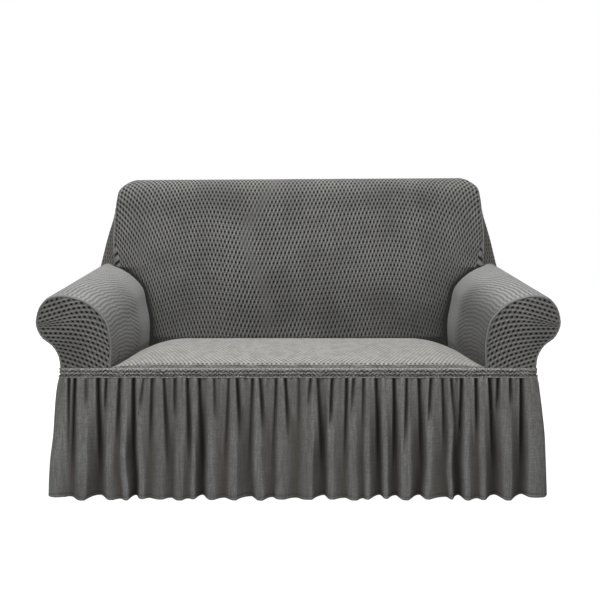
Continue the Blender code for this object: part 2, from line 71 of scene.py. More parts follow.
# --- Inside back -------------------------------------------------------------
FACE_FOOT_Y = 0.178
FACE_FOOT_Z = 0.355
FACE_LEAN = 0.172
FACE_CROWN = 0.012
CROWN_LOW_Z = 0.410
CROWN_HIGH_Z = 0.900
CROWN_HALF_WIDTH = 0.62
TOP_TILT = 0.006        # rise of the top edge for each metre from left to right
TILT_LOW_Z = 0.70
TILT_HIGH_Z = 0.90
SIDE_SEAM_Z = 0.645
SIDE_SWELL = 0.007
BASE_FADE = 1.4
TOP_FADE = 5
REAR_SEAM_Z = 0.897
REAR_TOP_HALF = 0.648
REAR_BULGE = 0.006
SEAT_SIDE_RUN = 0.14

# --- Band and skirt ----------------------------------------------------------
BAND_TOP_Z = 0.373
BAND_BOTTOM_Z = 0.351
BAND_HALF_X = 0.6865
BAND_HALF_Y = 0.4105
BAND_CORNER = 0.022
BAND_THICK = 0.004
SKIRT_TOP_Z = 0.3507
SKIRT_FLARE = 0.031
FLARE_RISE = 0.40
CORNER_OUT = 0.009      # how much further out the hem is at the corners
FOLD_AT_TOP = 0.16      # share of a fold's depth that it has under the band
HIGHEST_RIDGE = 0.013   # offset at which a ridge leaves the hem on the floor
DEEPEST_VALLEY = 0.017  # and depth at which a valley lifts it most
HEM_LIFT = 0.0085       # how far the deepest valley of the skirt lifts the hem
END_LIFT = 0.007        # and how much higher the hem is round the ends

ArmRow = namedtuple("ArmRow", "name front_x front_z rear_x rear_z")
TopRow = namedtuple("TopRow", "name y z half_width")
SeamRow = namedtuple("SeamRow", "name z half_width")
SeatRow = namedtuple("SeatRow", "name y z side_drop")
Fold = namedtuple("Fold", "ridge_x ridge_out valley_x valley_in")
Rise = namedtuple("Rise", "x rise")
Slack = namedtuple("Slack", "z x")
Tuck = namedtuple("Tuck", "top_x low_x reach depth")

ARM_SECTION = (
    ArmRow("band", 0.686, 0.3733, 0.684, 0.3733),
    ArmRow("side", 0.691, 0.407, 0.689, 0.431),
    ArmRow("undercut", 0.708, 0.436, 0.700, 0.487),
    ArmRow("under_roll", 0.737, 0.460, 0.721, 0.532),
    ArmRow("roll_low", 0.752, 0.489, 0.736, 0.563),
    ArmRow("roll_out", 0.753, 0.516, 0.741, 0.591),
    ArmRow("roll_high", 0.742, 0.550, 0.734, 0.625),
    ArmRow("shoulder", 0.716, 0.576, 0.715, 0.653),
    ArmRow("top", 0.678, 0.5835, 0.681, 0.6675),
    ArmRow("top_in", 0.645, 0.579, 0.649, 0.661),
    ArmRow("slope", 0.608, 0.566, 0.613, 0.644),
    ArmRow("slope_in", 0.574, 0.541, 0.579, 0.619),
    ArmRow("cheek", 0.548, 0.507, 0.549, 0.584),
    ArmRow("inner", 0.537, 0.460, 0.537, 0.535),
    ArmRow("inner_low", 0.535, 0.425, 0.5205, 0.458),
    ArmRow("crease", 0.538, 0.365, 0.5195, 0.365),
)
ROLL_OUT = 5.0
TOP = 8.0
SIDE_SEAM = 8.75
SEAT_ROW = 14.85
CREASE = len(ARM_SECTION) - 1.0
ARM_FALL = 0.02         # about how much lower the arm is at the back's face than behind
BESIDE_BACK = (15, 14.6, 14, 13, 12, 11, 10, 9.5, SIDE_SEAM)    # its rows there

SIDE_SEAM_ROWS = (
    SeamRow("low", 0.690, 0.657),
    SeamRow("middle", 0.745, 0.658),
    SeamRow("high", 0.805, 0.656),
    SeamRow("shoulder", 0.850, 0.6525),
)

TOP_ROWS = (
    TopRow("face_end", 0.267, 0.880, 0.649),
    TopRow("brow", 0.277, 0.919, 0.640),
    TopRow("crest_front", 0.299, 0.946, 0.611),
    TopRow("crest", 0.337, 0.958, 0.586),
    TopRow("crest_rear", 0.374, 0.946, 0.611),
    TopRow("nape", 0.400, 0.920, 0.640),
    TopRow("rear_seam", 0.410, 0.8973, 0.648),
)

SEAT_ROWS = (
    SeatRow("lower_edge", -0.4085, 0.3733, 0.0),
    SeatRow("front", -0.4075, 0.3800, 0.003),
    SeatRow("nose", -0.4010, 0.3855, 0.010),
    SeatRow("lip", -0.3820, 0.3885, 0.014),
    SeatRow("fore", -0.3000, 0.3940, 0.022),
    SeatRow("middle", -0.1500, 0.3995, 0.029),
    SeatRow("rear", 0.0200, 0.3990, 0.030),
    SeatRow("hollow", 0.1200, 0.3950, 0.030),
    SeatRow("foot", 0.1845, 0.3930, 0.030),
)

FRONT_FOLDS = (
    Fold(-0.6720, 0.011, -0.6465, 0.0035),
    Fold(-0.6040, 0.014, -0.5670, -0.0160),
    Fold(-0.5280, 0.012, -0.5105, 0.0055),
    Fold(-0.4910, 0.013, -0.4708, -0.0150),
    Fold(-0.4450, 0.008, -0.4227, 0.0015),
    Fold(-0.3890, 0.010, -0.3632, 0.0005),
    Fold(-0.3290, 0.014, -0.3093, 0.0045),
    Fold(-0.2980, 0.009, -0.2725, -0.0160),
    Fold(-0.2385, 0.012, -0.2102, 0.0005),
    Fold(-0.1760, 0.013, -0.1394, -0.0075),
    Fold(-0.1080, 0.015, -0.0742, -0.0030),
    Fold(-0.0400, 0.010, -0.0034, 0.0005),
    Fold(0.0420, 0.011, 0.0731, -0.0150),
    Fold(0.1040, 0.010, 0.1326, 0.0015),
    Fold(0.1640, 0.014, 0.1836, 0.0035),
    Fold(0.2034, 0.010, 0.2317, -0.0160),
    Fold(0.2516, 0.007, 0.2770, -0.0130),
    Fold(0.3150, 0.013, 0.3535, -0.0160),
    Fold(0.3819, 0.010, 0.4215, -0.0040),
    Fold(0.4385, 0.010, 0.4612, -0.0150),
    Fold(0.4867, 0.014, 0.5094, 0.0035),
    Fold(0.5300, 0.012, 0.5660, -0.0170),
    Fold(0.6040, 0.014, 0.6411, -0.0140),
)

# How far a row of the back's dimples climbs from left to right: two arches.
ROW_RISES = (
    Rise(-0.66, -0.134),
    Rise(-0.60, -0.082),
    Rise(-0.53, -0.034),
    Rise(-0.43, 0.002),
    Rise(-0.33, 0.015),
    Rise(-0.24, 0.007),
    Rise(-0.16, 0.0),
    Rise(-0.04, 0.004),
    Rise(0.11, 0.015),
    Rise(0.22, 0.024),
    Rise(0.32, 0.030),
    Rise(0.40, 0.021),
    Rise(0.47, 0.002),
    Rise(0.54, -0.030),
    Rise(0.60, -0.068),
    Rise(0.66, -0.115),
)

# Where the back's dimples flatten: one line that wanders up the cloth.
SLACK_LINE = (
    Slack(0.40, -0.105),
    Slack(0.56, -0.120),
    Slack(0.66, -0.165),
    Slack(0.74, -0.195),
    Slack(0.82, -0.170),
    Slack(0.88, -0.125),
    Slack(0.96, -0.080),
)

# A second, fainter line of the same kind beside each end of the back.
SIDE_SLACK_X = 0.562
SIDE_SLACK_LOW_Z = 0.60
SIDE_SLACK_HIGH_Z = 0.75

# Narrow tucks that the gathering makes under the band along the front.
FRONT_TUCKS = (
    Tuck(-0.641, -0.646, 1.00, 0.011),
    Tuck(-0.609, -0.606, 0.35, 0.006),
    Tuck(-0.576, -0.567, 1.00, 0.012),
    Tuck(-0.550, -0.556, 0.45, 0.010),
    Tuck(-0.513, -0.518, 0.62, 0.011),
    Tuck(-0.474, -0.471, 0.95, 0.011),
    Tuck(-0.443, -0.462, 0.45, 0.007),
    Tuck(-0.420, -0.423, 0.75, 0.009),
    Tuck(-0.386, -0.368, 0.90, 0.010),
    Tuck(-0.355, -0.352, 0.50, 0.008),
    Tuck(-0.318, -0.309, 0.85, 0.011),
    Tuck(-0.284, -0.273, 1.00, 0.010),
    Tuck(-0.241, -0.236, 0.45, 0.008),
    Tuck(-0.199, -0.210, 0.95, 0.008),
    Tuck(-0.177, -0.164, 0.56, 0.013),
    Tuck(-0.131, -0.140, 0.95, 0.007),
    Tuck(-0.110, -0.098, 0.54, 0.012),
    Tuck(-0.063, -0.074, 0.95, 0.008),
    Tuck(-0.038, -0.026, 0.58, 0.011),
    Tuck(0.003, 0.000, 0.60, 0.005),
    Tuck(0.036, 0.024, 0.30, 0.006),
    Tuck(0.056, 0.074, 1.00, 0.010),
    Tuck(0.096, 0.089, 0.58, 0.012),
    Tuck(0.138, 0.133, 0.90, 0.009),
    Tuck(0.158, 0.148, 0.48, 0.007),
    Tuck(0.187, 0.184, 0.60, 0.006),
    Tuck(0.223, 0.233, 1.00, 0.010),
    Tuck(0.274, 0.277, 0.95, 0.013),
    Tuck(0.311, 0.301, 0.80, 0.010),
    Tuck(0.345, 0.358, 1.00, 0.009),
    Tuck(0.379, 0.370, 0.52, 0.011),
    Tuck(0.413, 0.420, 0.75, 0.009),
    Tuck(0.436, 0.452, 0.50, 0.008),
    Tuck(0.467, 0.462, 1.00, 0.012),
    Tuck(0.507, 0.512, 0.65, 0.011),
    Tuck(0.546, 0.566, 1.00, 0.013),
    Tuck(0.572, 0.568, 0.40, 0.009),
    Tuck(0.606, 0.606, 0.30, 0.008),
    Tuck(0.637, 0.642, 1.00, 0.013),
)

# --- The knit's dimples ------------------------------------------------------
PITCH = 0.0136          # between dimples across the panel's middle
SIDE_PITCH = 0.0110     # and where it is stretched less, beside the arms
PITCH_HALF = 0.56       # distance over which one turns into the other
FRONT_PITCH = 0.0145    # between dimples on the arms' fronts
GUSSET_PITCH = 0.0170   # and on the side panels of the back
ROW = 0.0174            # between staggered rows of dimples
SHORT_ROW = 0.0135      # and where the cloth is stretched less, on the arms
FRONT_ROW = 0.0131      # and on the arms' fronts
GUSSET_ROW = 0.0150     # and on the side panels of the back
PARTS = 4               # mesh steps in a pitch and in a row
DIMPLE_DEEP = 0.0024
DIMPLE_SHORT = 3.0      # the larger, the shorter the dimples for their width
BUBBLE = 0.0007         # how far the cloth puffs up between dimples
KNIT_INSIDE = 0.0034    # from the outer face to the inner one
EDGE_ROWS = (0.0, 0.0014, 0.0040)           # mesh rows beside a panel's ends
NOSE_ROWS = tuple(0.0014 * k for k in range(9))     # and beside the seat's
SHORT_COLUMN = 0.024    # a column shorter than this has its end rows closer
END_ROOM = 0.35         # least room between end rows and the next, in mesh steps
EDGE_FADE = 0.008       # the dimples die out this close to a seam
INNER_FIRM = 0.3        # how far the dimples show on an inner face
TOP_ROW_CLOSER = 0.22   # how much closer the rows are over the top
COARSE = 4              # the inner face has one column for this many
INNER_ROWS = 24         # mesh steps from end to end of an inner face

# --- Skirt and band ----------------------------------------------------------
FRONT_STEP = 0.0020     # mesh step along the skirt's front
SKIRT_STEP = 0.0030     # and round its other sides
BAND_STEP = 0.0017      # and along the band
PIPING_STEP = 0.0024    # and along the piping
SIDE_FOLDS = 56         # main folds round the sides and the rear
TUCK_PITCH = 0.030      # between the tucks there
HEM = 0.009             # from the hem's edge up to its line of stitches
STEEP_SIDE = 0.66       # under 1: a fold falls sharply to the right of its ridge
FLAT_SIDE = 2.1         # over 1: and stays level for longer on its left
GROOVE_LOW_Z = 0.3545   # the band's lower groove
GROOVE_HIGH_Z = 0.3640  # and its upper one
BAND_CRINKLE = 0.0112   # along the band, from crinkle to crinkle
SEAT_CRINKLE = 0.0108   # and along the seat's front edge
PIPING = 0.0017         # radius of the piped seam between band and skirt
PIPING_OUT = 0.0048     # how far its middle is from the band's ring
SEAM_ROLL = 0.0027      # radius of the rolled seam round an arm's front
SEAM_INSET = 0.0042     # how far its middle is inside the arm's outline
BACK_SEAM = 0.0015      # radius of the seams beside the back's face
TUBE_SIDES = 8

# --- Camera ------------------------------------------------------------------
CAMERA_LENS = 54.8      # millimetres
CAMERA_SENSOR = 36.0    # millimetres
CAMERA_AWAY = 2.6       # in front of the arms
CAMERA_X = 0.005
CAMERA_Z = 0.755
CAMERA_DOWN = 4.07      # degrees

TURN = 2.0 * math.pi    # once round


# --- Small helpers -----------------------------------------------------------
def mix(low, high, share):
    return low + (high - low) * share


def clamp(value, low=0.0, high=1.0):
    return np.clip(value, low, high)


def ease(share):
    """Smooth step from 0 to 1."""
    share = clamp(share)
    return share * share * (3.0 - 2.0 * share)


def bell(away, width):
    """A soft bump, 1 where `away` is 0 and fading over `width` on both sides."""
    return np.exp(-(away / width) ** 2)


def curve(points, at):
    """Catmull-Rom curve through the points; `at` counts along them."""
    points = np.asarray(points, float)
    padded = np.concatenate((
        2.0 * points[:1] - points[1:2],
        points,
        2.0 * points[-1:] - points[-2:-1],
    ))
    last = len(points) - 1
    at = np.clip(np.asarray(at, float), 0.0, last)
    k = np.minimum(at.astype(int), last - 1)
    f = (at - k)[..., None]
    a, b, c, d = (padded[k + step] for step in range(4))
    return 0.5 * (2 * b + (c - a) * f + (2 * a - 5 * b + 4 * c - d) * f ** 2
                  + (3 * b - a - 3 * c + d) * f ** 3)


def lengths(points):
    """Distance along a line of points, up to each of them."""
    steps = np.linalg.norm(np.diff(points, axis=0), axis=1)
    return np.concatenate(([0.0], np.cumsum(steps)))


def wobble(value, seed, octaves=3):
    """Smooth, repeatable unevenness between about -1 and 1."""
    total = 0.0
    for k in range(octaves):
        total = total + np.sin(value * (1.0 + 0.73 * k) + seed * (2.1 + k)) / (1.0 + k)
    return total / 1.7


def zigzag(along, across, period, seed):
    """Slanting crinkles between -1 and 1 whose slant turns back and forth."""
    turns = along / period + 0.35 * wobble(along * 21.0, seed)
    lean = across / period * np.where(np.mod(np.floor(turns / 3.0), 2.0) > 0.5, 1.0, -1.0)
    return 2.0 * np.abs(2.0 * np.mod(turns + lean, 1.0) - 1.0) - 1.0


# --- The arms ----------------------------------------------------------------
ARM_FRONT = np.array([(r.front_x, r.front_z) for r in ARM_SECTION])
ARM_REAR = np.array([(r.rear_x, r.rear_z) for r in ARM_SECTION])


def arm_outline(row, y):
    """Outer face of the right arm's section, before its rim curls in."""
    share = ((y - FRONT_Y) / DEPTH)[..., None]
    return mix(curve(ARM_FRONT, row), curve(ARM_REAR, row), share)


def arm_section(row, y, depth=0.0):
    """Points (x, z) of the right arm's section, `depth` under its outer face."""
    row, y = np.broadcast_arrays(np.asarray(row, float), np.asarray(y, float))
    here = arm_outline(row, y)
    run = arm_outline(np.minimum(row + 0.05, CREASE), y)
    run = run - arm_outline(np.maximum(row - 0.05, 0.0), y)
    length = np.hypot(run[..., 0], run[..., 1])
    x = here[..., 0] - depth * run[..., 1] / length
    z = here[..., 1] + depth * run[..., 0] / length
    return x, np.where(row <= 0.0, KNIT_BOTTOM_Z, z)


def rim_inset(y):
    """How far the arm panel curls in near its front seam."""
    left = clamp((ARM_RIM_Y + RIM_ROUND - y) / RIM_ROUND)
    return RIM_INSET * (1.0 - np.sqrt(1.0 - left * left))


def face_y(z):
    return FACE_FOOT_Y + FACE_LEAN * (z - FACE_FOOT_Z)


def face_crown(x, z):
    """How far the middle of the back's face stands forward."""
    height = clamp((z - CROWN_LOW_Z) / (CROWN_HIGH_Z - CROWN_LOW_Z))
    width = clamp(1.0 - (x / CROWN_HALF_WIDTH) ** 2)
    return FACE_CROWN * width * np.sin(np.pi * height) ** 2


def tilt_share(z):
    return ease((z - TILT_LOW_Z) / (TILT_HIGH_Z - TILT_LOW_Z))


def side_base_y(row):
    """Where the back's side panel stands on the arm."""
    x, z = arm_section(SIDE_SEAM, face_y(SIDE_SEAM_Z))
    front = face_y(z) + KNIT + SEAM_GAP
    return mix(front, PANEL_END_Y, clamp((SIDE_SEAM - row) / (SIDE_SEAM - ROLL_OUT)))


def arm_end_y(row):
    """Rear edge of the arm panel."""
    y = np.full(np.shape(row), face_y(SIDE_SEAM_Z))
    for _ in range(6):
        x, z = arm_section(row, y)
        y = face_y(z) - face_crown(x, z) - CURVE_GAP
    under = np.minimum(side_base_y(row) + UNDER_LAP, PANEL_END_Y)
    return np.where(row < SIDE_SEAM, under, y)


# --- Dimpled sheets ----------------------------------------------------------
def relief(u, v):
    """Height of the bubbled knit at lattice coordinates, in metres."""
    along = np.cos(np.pi * v)
    wave = np.cos(TURN * u) * along * np.abs(along) ** DIMPLE_SHORT
    return BUBBLE * clamp(-wave) - DIMPLE_DEEP * clamp(wave) ** 1.5


def outward(place, c, s, sign, step=0.002, c_step=0.002):
    """Unit normals of the surface place(c, s)."""
    along_c = place(c + c_step, s) - place(c - c_step, s)
    along_s = place(c, s + step) - place(c, s - step)
    normal = sign * np.cross(along_c, along_s)
    return normal / np.maximum(np.linalg.norm(normal, axis=-1, keepdims=True), 1e-12)


def make_object(name, points, faces, uvs, shares, material):
    """One mesh object that rides with the part.

    `uvs` and `shares` go by vertex: firm is how far the dimples show, shade how
    far painted shade darkens the cloth, in creases and where less light falls,
    and lean how far the dimples slant.
    """
    mesh = bpy.data.meshes.new(name)
    mesh.from_pydata(points.tolist(), [], faces)
    mesh.materials.append(material)
    mesh.shade_smooth()
    mesh.set_sharp_from_angle(angle=math.radians(75.0))
    corners = np.empty(len(mesh.loops), np.int32)
    mesh.loops.foreach_get("vertex_index", corners)
    layer = mesh.uv_layers.new(name="knit")
    layer.data.foreach_set("uv", uvs[corners].astype(np.float32).ravel())
    for label, values in shares.items():
        share = mesh.attributes.new(label, "FLOAT", "POINT")
        share.data.foreach_set("value", values.astype(np.float32))
    mesh.validate()
    thing = bpy.data.objects.new(name, mesh)
    bpy.context.scene.collection.objects.link(thing)
    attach(thing, "root")
    return thing


def column_rows(low, high, shift, step, edges):
    """Positions along one column: edge rows, lattice rows, edge rows.

    Returns them with the first lattice number and how many there are.
    """
    scale = min(1.0, (high - low) / SHORT_COLUMN)
    start = [low + edge * scale for edge in edges]
    end = [high - edge * scale for edge in reversed(edges)]
    first = math.ceil((start[-1] - shift) / step + END_ROOM)
    last = math.floor((end[0] - shift) / step - END_ROOM)
    lattice = [k * step + shift for k in range(first, last + 1)]
    return start + lattice + end, first, len(lattice)


def stitch(a, b, edge):
    """Faces between two neighbouring columns (base, first, count)."""
    base_a, first_a, count_a = a
    base_b, first_b, count_b = b
    lattice_a = list(range(base_a + edge, base_a + edge + count_a))
    lattice_b = list(range(base_b + edge, base_b + edge + count_b))
    end_a = base_a + edge + count_a
    end_b = base_b + edge + count_b
    faces = []
    for j in range(edge - 1):
        faces.append([base_a + j, base_b + j, base_b + j + 1, base_a + j + 1])
        faces.append([end_a + j, end_b + j, end_b + j + 1, end_a + j + 1])
    low = max(first_a, first_b)
    high = min(first_a + count_a, first_b + count_b) - 1
    below_a = base_a + edge - 1
    below_b = base_b + edge - 1
    if high < low:
        faces.append([below_a, below_b, *lattice_b, end_b, end_a, *lattice_a[::-1]])
        return faces
    low_a, high_a = low - first_a, high - first_a
    low_b, high_b = low - first_b, high - first_b
    faces.append([below_a, below_b, *lattice_b[:low_b + 1], *lattice_a[:low_a + 1][::-1]])
    for j in range(high - low):
        p, q = lattice_a[low_a + j], lattice_b[low_b + j]
        faces.append([p, q, q + 1, p + 1])
    faces.append([*lattice_b[high_b:], end_b, end_a, *lattice_a[high_a:][::-1]])
    return faces


def dimpled_panel(name, columns, spans, shifts, step, place, lattice, sign, material,
                  mirrored=False, firmness=None, extra=None, shading=None,
                  leaning=None, edges=EDGE_ROWS):
    """A closed sheet whose outer face has columns that follow the knit's lattice.

    `spans` gives each column's start and end, `shifts` how far its lattice rows
    are moved, `place(c, s)` the surface and `lattice(c, s)` the dimples' place.
    """
    records, column_of, along = [], [], []
    base = 0
    for c, (low, high), shift in zip(columns, spans, shifts):
        rows, first, count = column_rows(low, high, shift, step, edges)
        records.append((base, first, count))
        column_of += [c] * len(rows)
        along += rows
        base += len(rows)
    c = np.array(column_of)
    s = np.array(along)
    tops = np.array([record[0] for record in records[1:]] + [base]) - 1

    index = np.repeat(np.arange(len(columns)), np.diff([r[0] for r in records] + [base]))
    lows = np.array([span[0] for span in spans])[index]
    highs = np.array([span[1] for span in spans])[index]
    sides = np.minimum(np.abs(c - columns[0]), np.abs(columns[-1] - c))
    near = np.minimum(np.minimum(s - lows, highs - s), sides)
    firm = ease(near / EDGE_FADE)
    if firmness is not None:
        firm = firm * firmness(c, s)
    u, v = lattice(c, s)
    points = place(c, s)
    normals = outward(place, c, s, sign)
    height = relief(u, v) * firm
    if extra is not None:
        height = height + extra(c, s)
    outer = points + normals * height[:, None]

    faces = []
    for a, b in zip(records, records[1:]):
        faces += stitch(a, b, len(edges))

    picks = list(range(0, len(columns) - 1, COARSE)) + [len(columns) - 1]
    shares = np.linspace(0.0, 1.0, INNER_ROWS + 1)
    inner_c = np.repeat(np.array(columns)[picks], INNER_ROWS + 1)
    inner_s = np.concatenate([mix(spans[p][0], spans[p][1], shares) for p in picks])
    inner = place(inner_c, inner_s) - outward(place, inner_c, inner_s, sign) * KNIT_INSIDE
    stride = INNER_ROWS + 1
    for k, (p, q) in enumerate(zip(picks, picks[1:])):
        a, b = base + k * stride, base + (k + 1) * stride
        for j in range(INNER_ROWS):
            faces.append([a + j, a + j + 1, b + j + 1, b + j])
        low_edge = [records[i][0] for i in range(p, q + 1)]
        high_edge = [tops[i] for i in range(p, q + 1)]
        faces.append([*low_edge[::-1], a, b])
        faces.append([*high_edge, b + INNER_ROWS, a + INNER_ROWS])
    for side, start in ((0, base), (len(columns) - 1, base + (len(picks) - 1) * stride)):
        bottom, top = records[side][0], tops[side]
        cuts = [bottom + round((top - bottom) * share) for share in shares]
        for j in range(INNER_ROWS):
            chain = list(range(cuts[j], cuts[j + 1] + 1))
            rim = [*chain, start + j + 1, start + j]
            faces.append(rim if side == 0 else rim[::-1])

    points = np.concatenate((outer, inner))
    inner_u, inner_v = lattice(inner_c, inner_s)
    uvs = np.stack((np.concatenate((u, inner_u)), np.concatenate((v, inner_v))), axis=1)
    shade = np.zeros(len(outer)) if shading is None else shading(c, s)
    lean = np.zeros(len(outer)) if leaning is None else leaning(c, s)
    shares = {
        "lean": np.concatenate((lean, np.zeros(len(inner)))),
        "firm": np.concatenate((firm, np.full(len(inner), INNER_FIRM))),
        "shade": np.concatenate((shade, np.zeros(len(inner)))),
    }
    return finish_panel(name, points, faces, uvs, shares, sign, mirrored, material)


def finish_panel(name, points, faces, uvs, shares, sign, mirrored, material):
    """Turn the faces out, mirror the panel if it is the left one, and make it."""
    if mirrored:
        points = points * np.array((-1.0, 1.0, 1.0))
    if (sign < 0) != mirrored:
        faces = [face[::-1] for face in faces]
    return make_object(name, points, faces, uvs, shares, material)


def woven_grid(name, columns, rows, place, lattice, sign, material,
               mirrored=False, fade=EDGE_FADE, leaning=None):
    """A closed sheet on a plain grid, for the small curved panels."""
    c, s = (part.ravel() for part in np.meshgrid(columns, rows, indexing="ij"))
    points = place(c, s)
    c_step = 0.3 * (columns[1] - columns[0])
    normals = outward(place, c, s, sign, 0.3 * (rows[1] - rows[0]), c_step)
    u, v = lattice(c, s, points)
    wide, tall = len(columns), len(rows)
    grid = points.reshape(wide, tall, 3)
    from_side = np.linalg.norm(grid - grid[:1], axis=2)
    from_other = np.linalg.norm(grid - grid[-1:], axis=2)
    from_low = np.linalg.norm(grid - grid[:, :1], axis=2)
    from_high = np.linalg.norm(grid - grid[:, -1:], axis=2)
    near = np.minimum.reduce((from_side, from_other, from_low, from_high))
    firm = ease(near / fade).ravel()
    height = relief(u, v) * firm
    outer = points + normals * height[:, None]
    inner = points - normals * KNIT_INSIDE

    def at(i, j, layer):
        return layer * wide * tall + i * tall + j

    faces = []
    for i in range(wide - 1):
        for j in range(tall - 1):
            faces.append([at(i, j, 0), at(i + 1, j, 0), at(i + 1, j + 1, 0), at(i, j + 1, 0)])
            faces.append([at(i, j, 1), at(i, j + 1, 1), at(i + 1, j + 1, 1), at(i + 1, j, 1)])
        faces.append([at(i + 1, 0, 0), at(i, 0, 0), at(i, 0, 1), at(i + 1, 0, 1)])
        faces.append([at(i, tall - 1, 0), at(i + 1, tall - 1, 0),
                      at(i + 1, tall - 1, 1), at(i, tall - 1, 1)])
    for j in range(tall - 1):
        faces.append([at(0, j, 0), at(0, j + 1, 0), at(0, j + 1, 1), at(0, j, 1)])
        faces.append([at(wide - 1, j + 1, 0), at(wide - 1, j, 0),
                      at(wide - 1, j, 1), at(wide - 1, j + 1, 1)])
    points = np.concatenate((outer, inner))
    uvs = np.stack((np.tile(u, 2), np.tile(v, 2)), axis=1)
    shares = {
        "firm": np.concatenate((firm, np.full(len(inner), INNER_FIRM))),
        "shade": np.zeros(len(points)),
    }
    if leaning is not None:
        shares["lean"] = leaning(points)
    return finish_panel(name, points, faces, uvs, shares, sign, mirrored, material)


# --- Materials ---------------------------------------------------------------
class Shader:
    """Short calls that add and join the nodes of one material."""

    def __init__(self, name):
        self.material = bpy.data.materials.new(name)
        self.material.use_nodes = True
        self.tree = self.material.node_tree
        self.principled = self.tree.nodes["Principled BSDF"]

    def node(self, kind, **settings):
        made = self.tree.nodes.new(kind)
        for key, value in settings.items():
            setattr(made, key, value)
        return made

    def plug(self, socket, value):
        if isinstance(value, bpy.types.NodeSocket):
            self.tree.links.new(value, socket)
        else:
            socket.default_value = value

    def math(self, operation, *values):
        made = self.node("ShaderNodeMath", operation=operation)
        for socket, value in zip(made.inputs, values):
            self.plug(socket, value)
        return made.outputs[0]

    def times(self, first, second):
        return self.math("MULTIPLY", first, second)

    def plus(self, first, second):
        return self.math("ADD", first, second)

    def minus(self, first, second):
        return self.math("SUBTRACT", first, second)

    def share(self, name):
        """A value that the mesh carries at each vertex."""
        return self.node("ShaderNodeAttribute", attribute_name=name).outputs["Fac"]

    def ramp(self, value, low, high, to_low=0.0, to_high=1.0):
        made = self.node("ShaderNodeMapRange", interpolation_type="SMOOTHSTEP")
        settings = (value, low, high, to_low, to_high)
        for socket, setting in zip(made.inputs, settings):
            self.plug(socket, setting)
        return made.outputs[0]

    def blend(self, share, low, high):
        made = self.node("ShaderNodeMix", data_type="RGBA")
        self.plug(made.inputs["Factor"], share)
        self.plug(made.inputs[6], low)
        self.plug(made.inputs[7], high)
        return made.outputs[2]

    def noise(self, scale, detail=3.0, stretch=None, roughness=0.55):
        place = self.node("ShaderNodeTexCoord").outputs["Object"]
        if stretch is not None:
            mapping = self.node("ShaderNodeMapping")
            mapping.inputs["Scale"].default_value = stretch
            self.plug(mapping.inputs["Vector"], place)
            place = mapping.outputs[0]
        made = self.node("ShaderNodeTexNoise")
        self.plug(made.inputs["Vector"], place)
        made.inputs["Scale"].default_value = scale
        made.inputs["Detail"].default_value = detail
        made.inputs["Roughness"].default_value = roughness
        return made.outputs["Fac"]

    def finish(self, colour, height, distance, roughness, sheen):
        bump = self.node("ShaderNodeBump")
        bump.inputs["Strength"].default_value = 1.0
        bump.inputs["Distance"].default_value = distance
        self.plug(bump.inputs["Height"], height)
        self.plug(self.principled.inputs["Normal"], bump.outputs[0])
        self.plug(self.principled.inputs["Base Color"], colour)
        self.principled.inputs["Roughness"].default_value = roughness
        self.principled.inputs["Specular IOR Level"].default_value = 0.2
        self.principled.inputs["Sheen Weight"].default_value = sheen
        self.principled.inputs["Sheen Roughness"].default_value = 0.6
        return self.material


def rgb(red, green, blue):
    return (red, green, blue, 1.0)


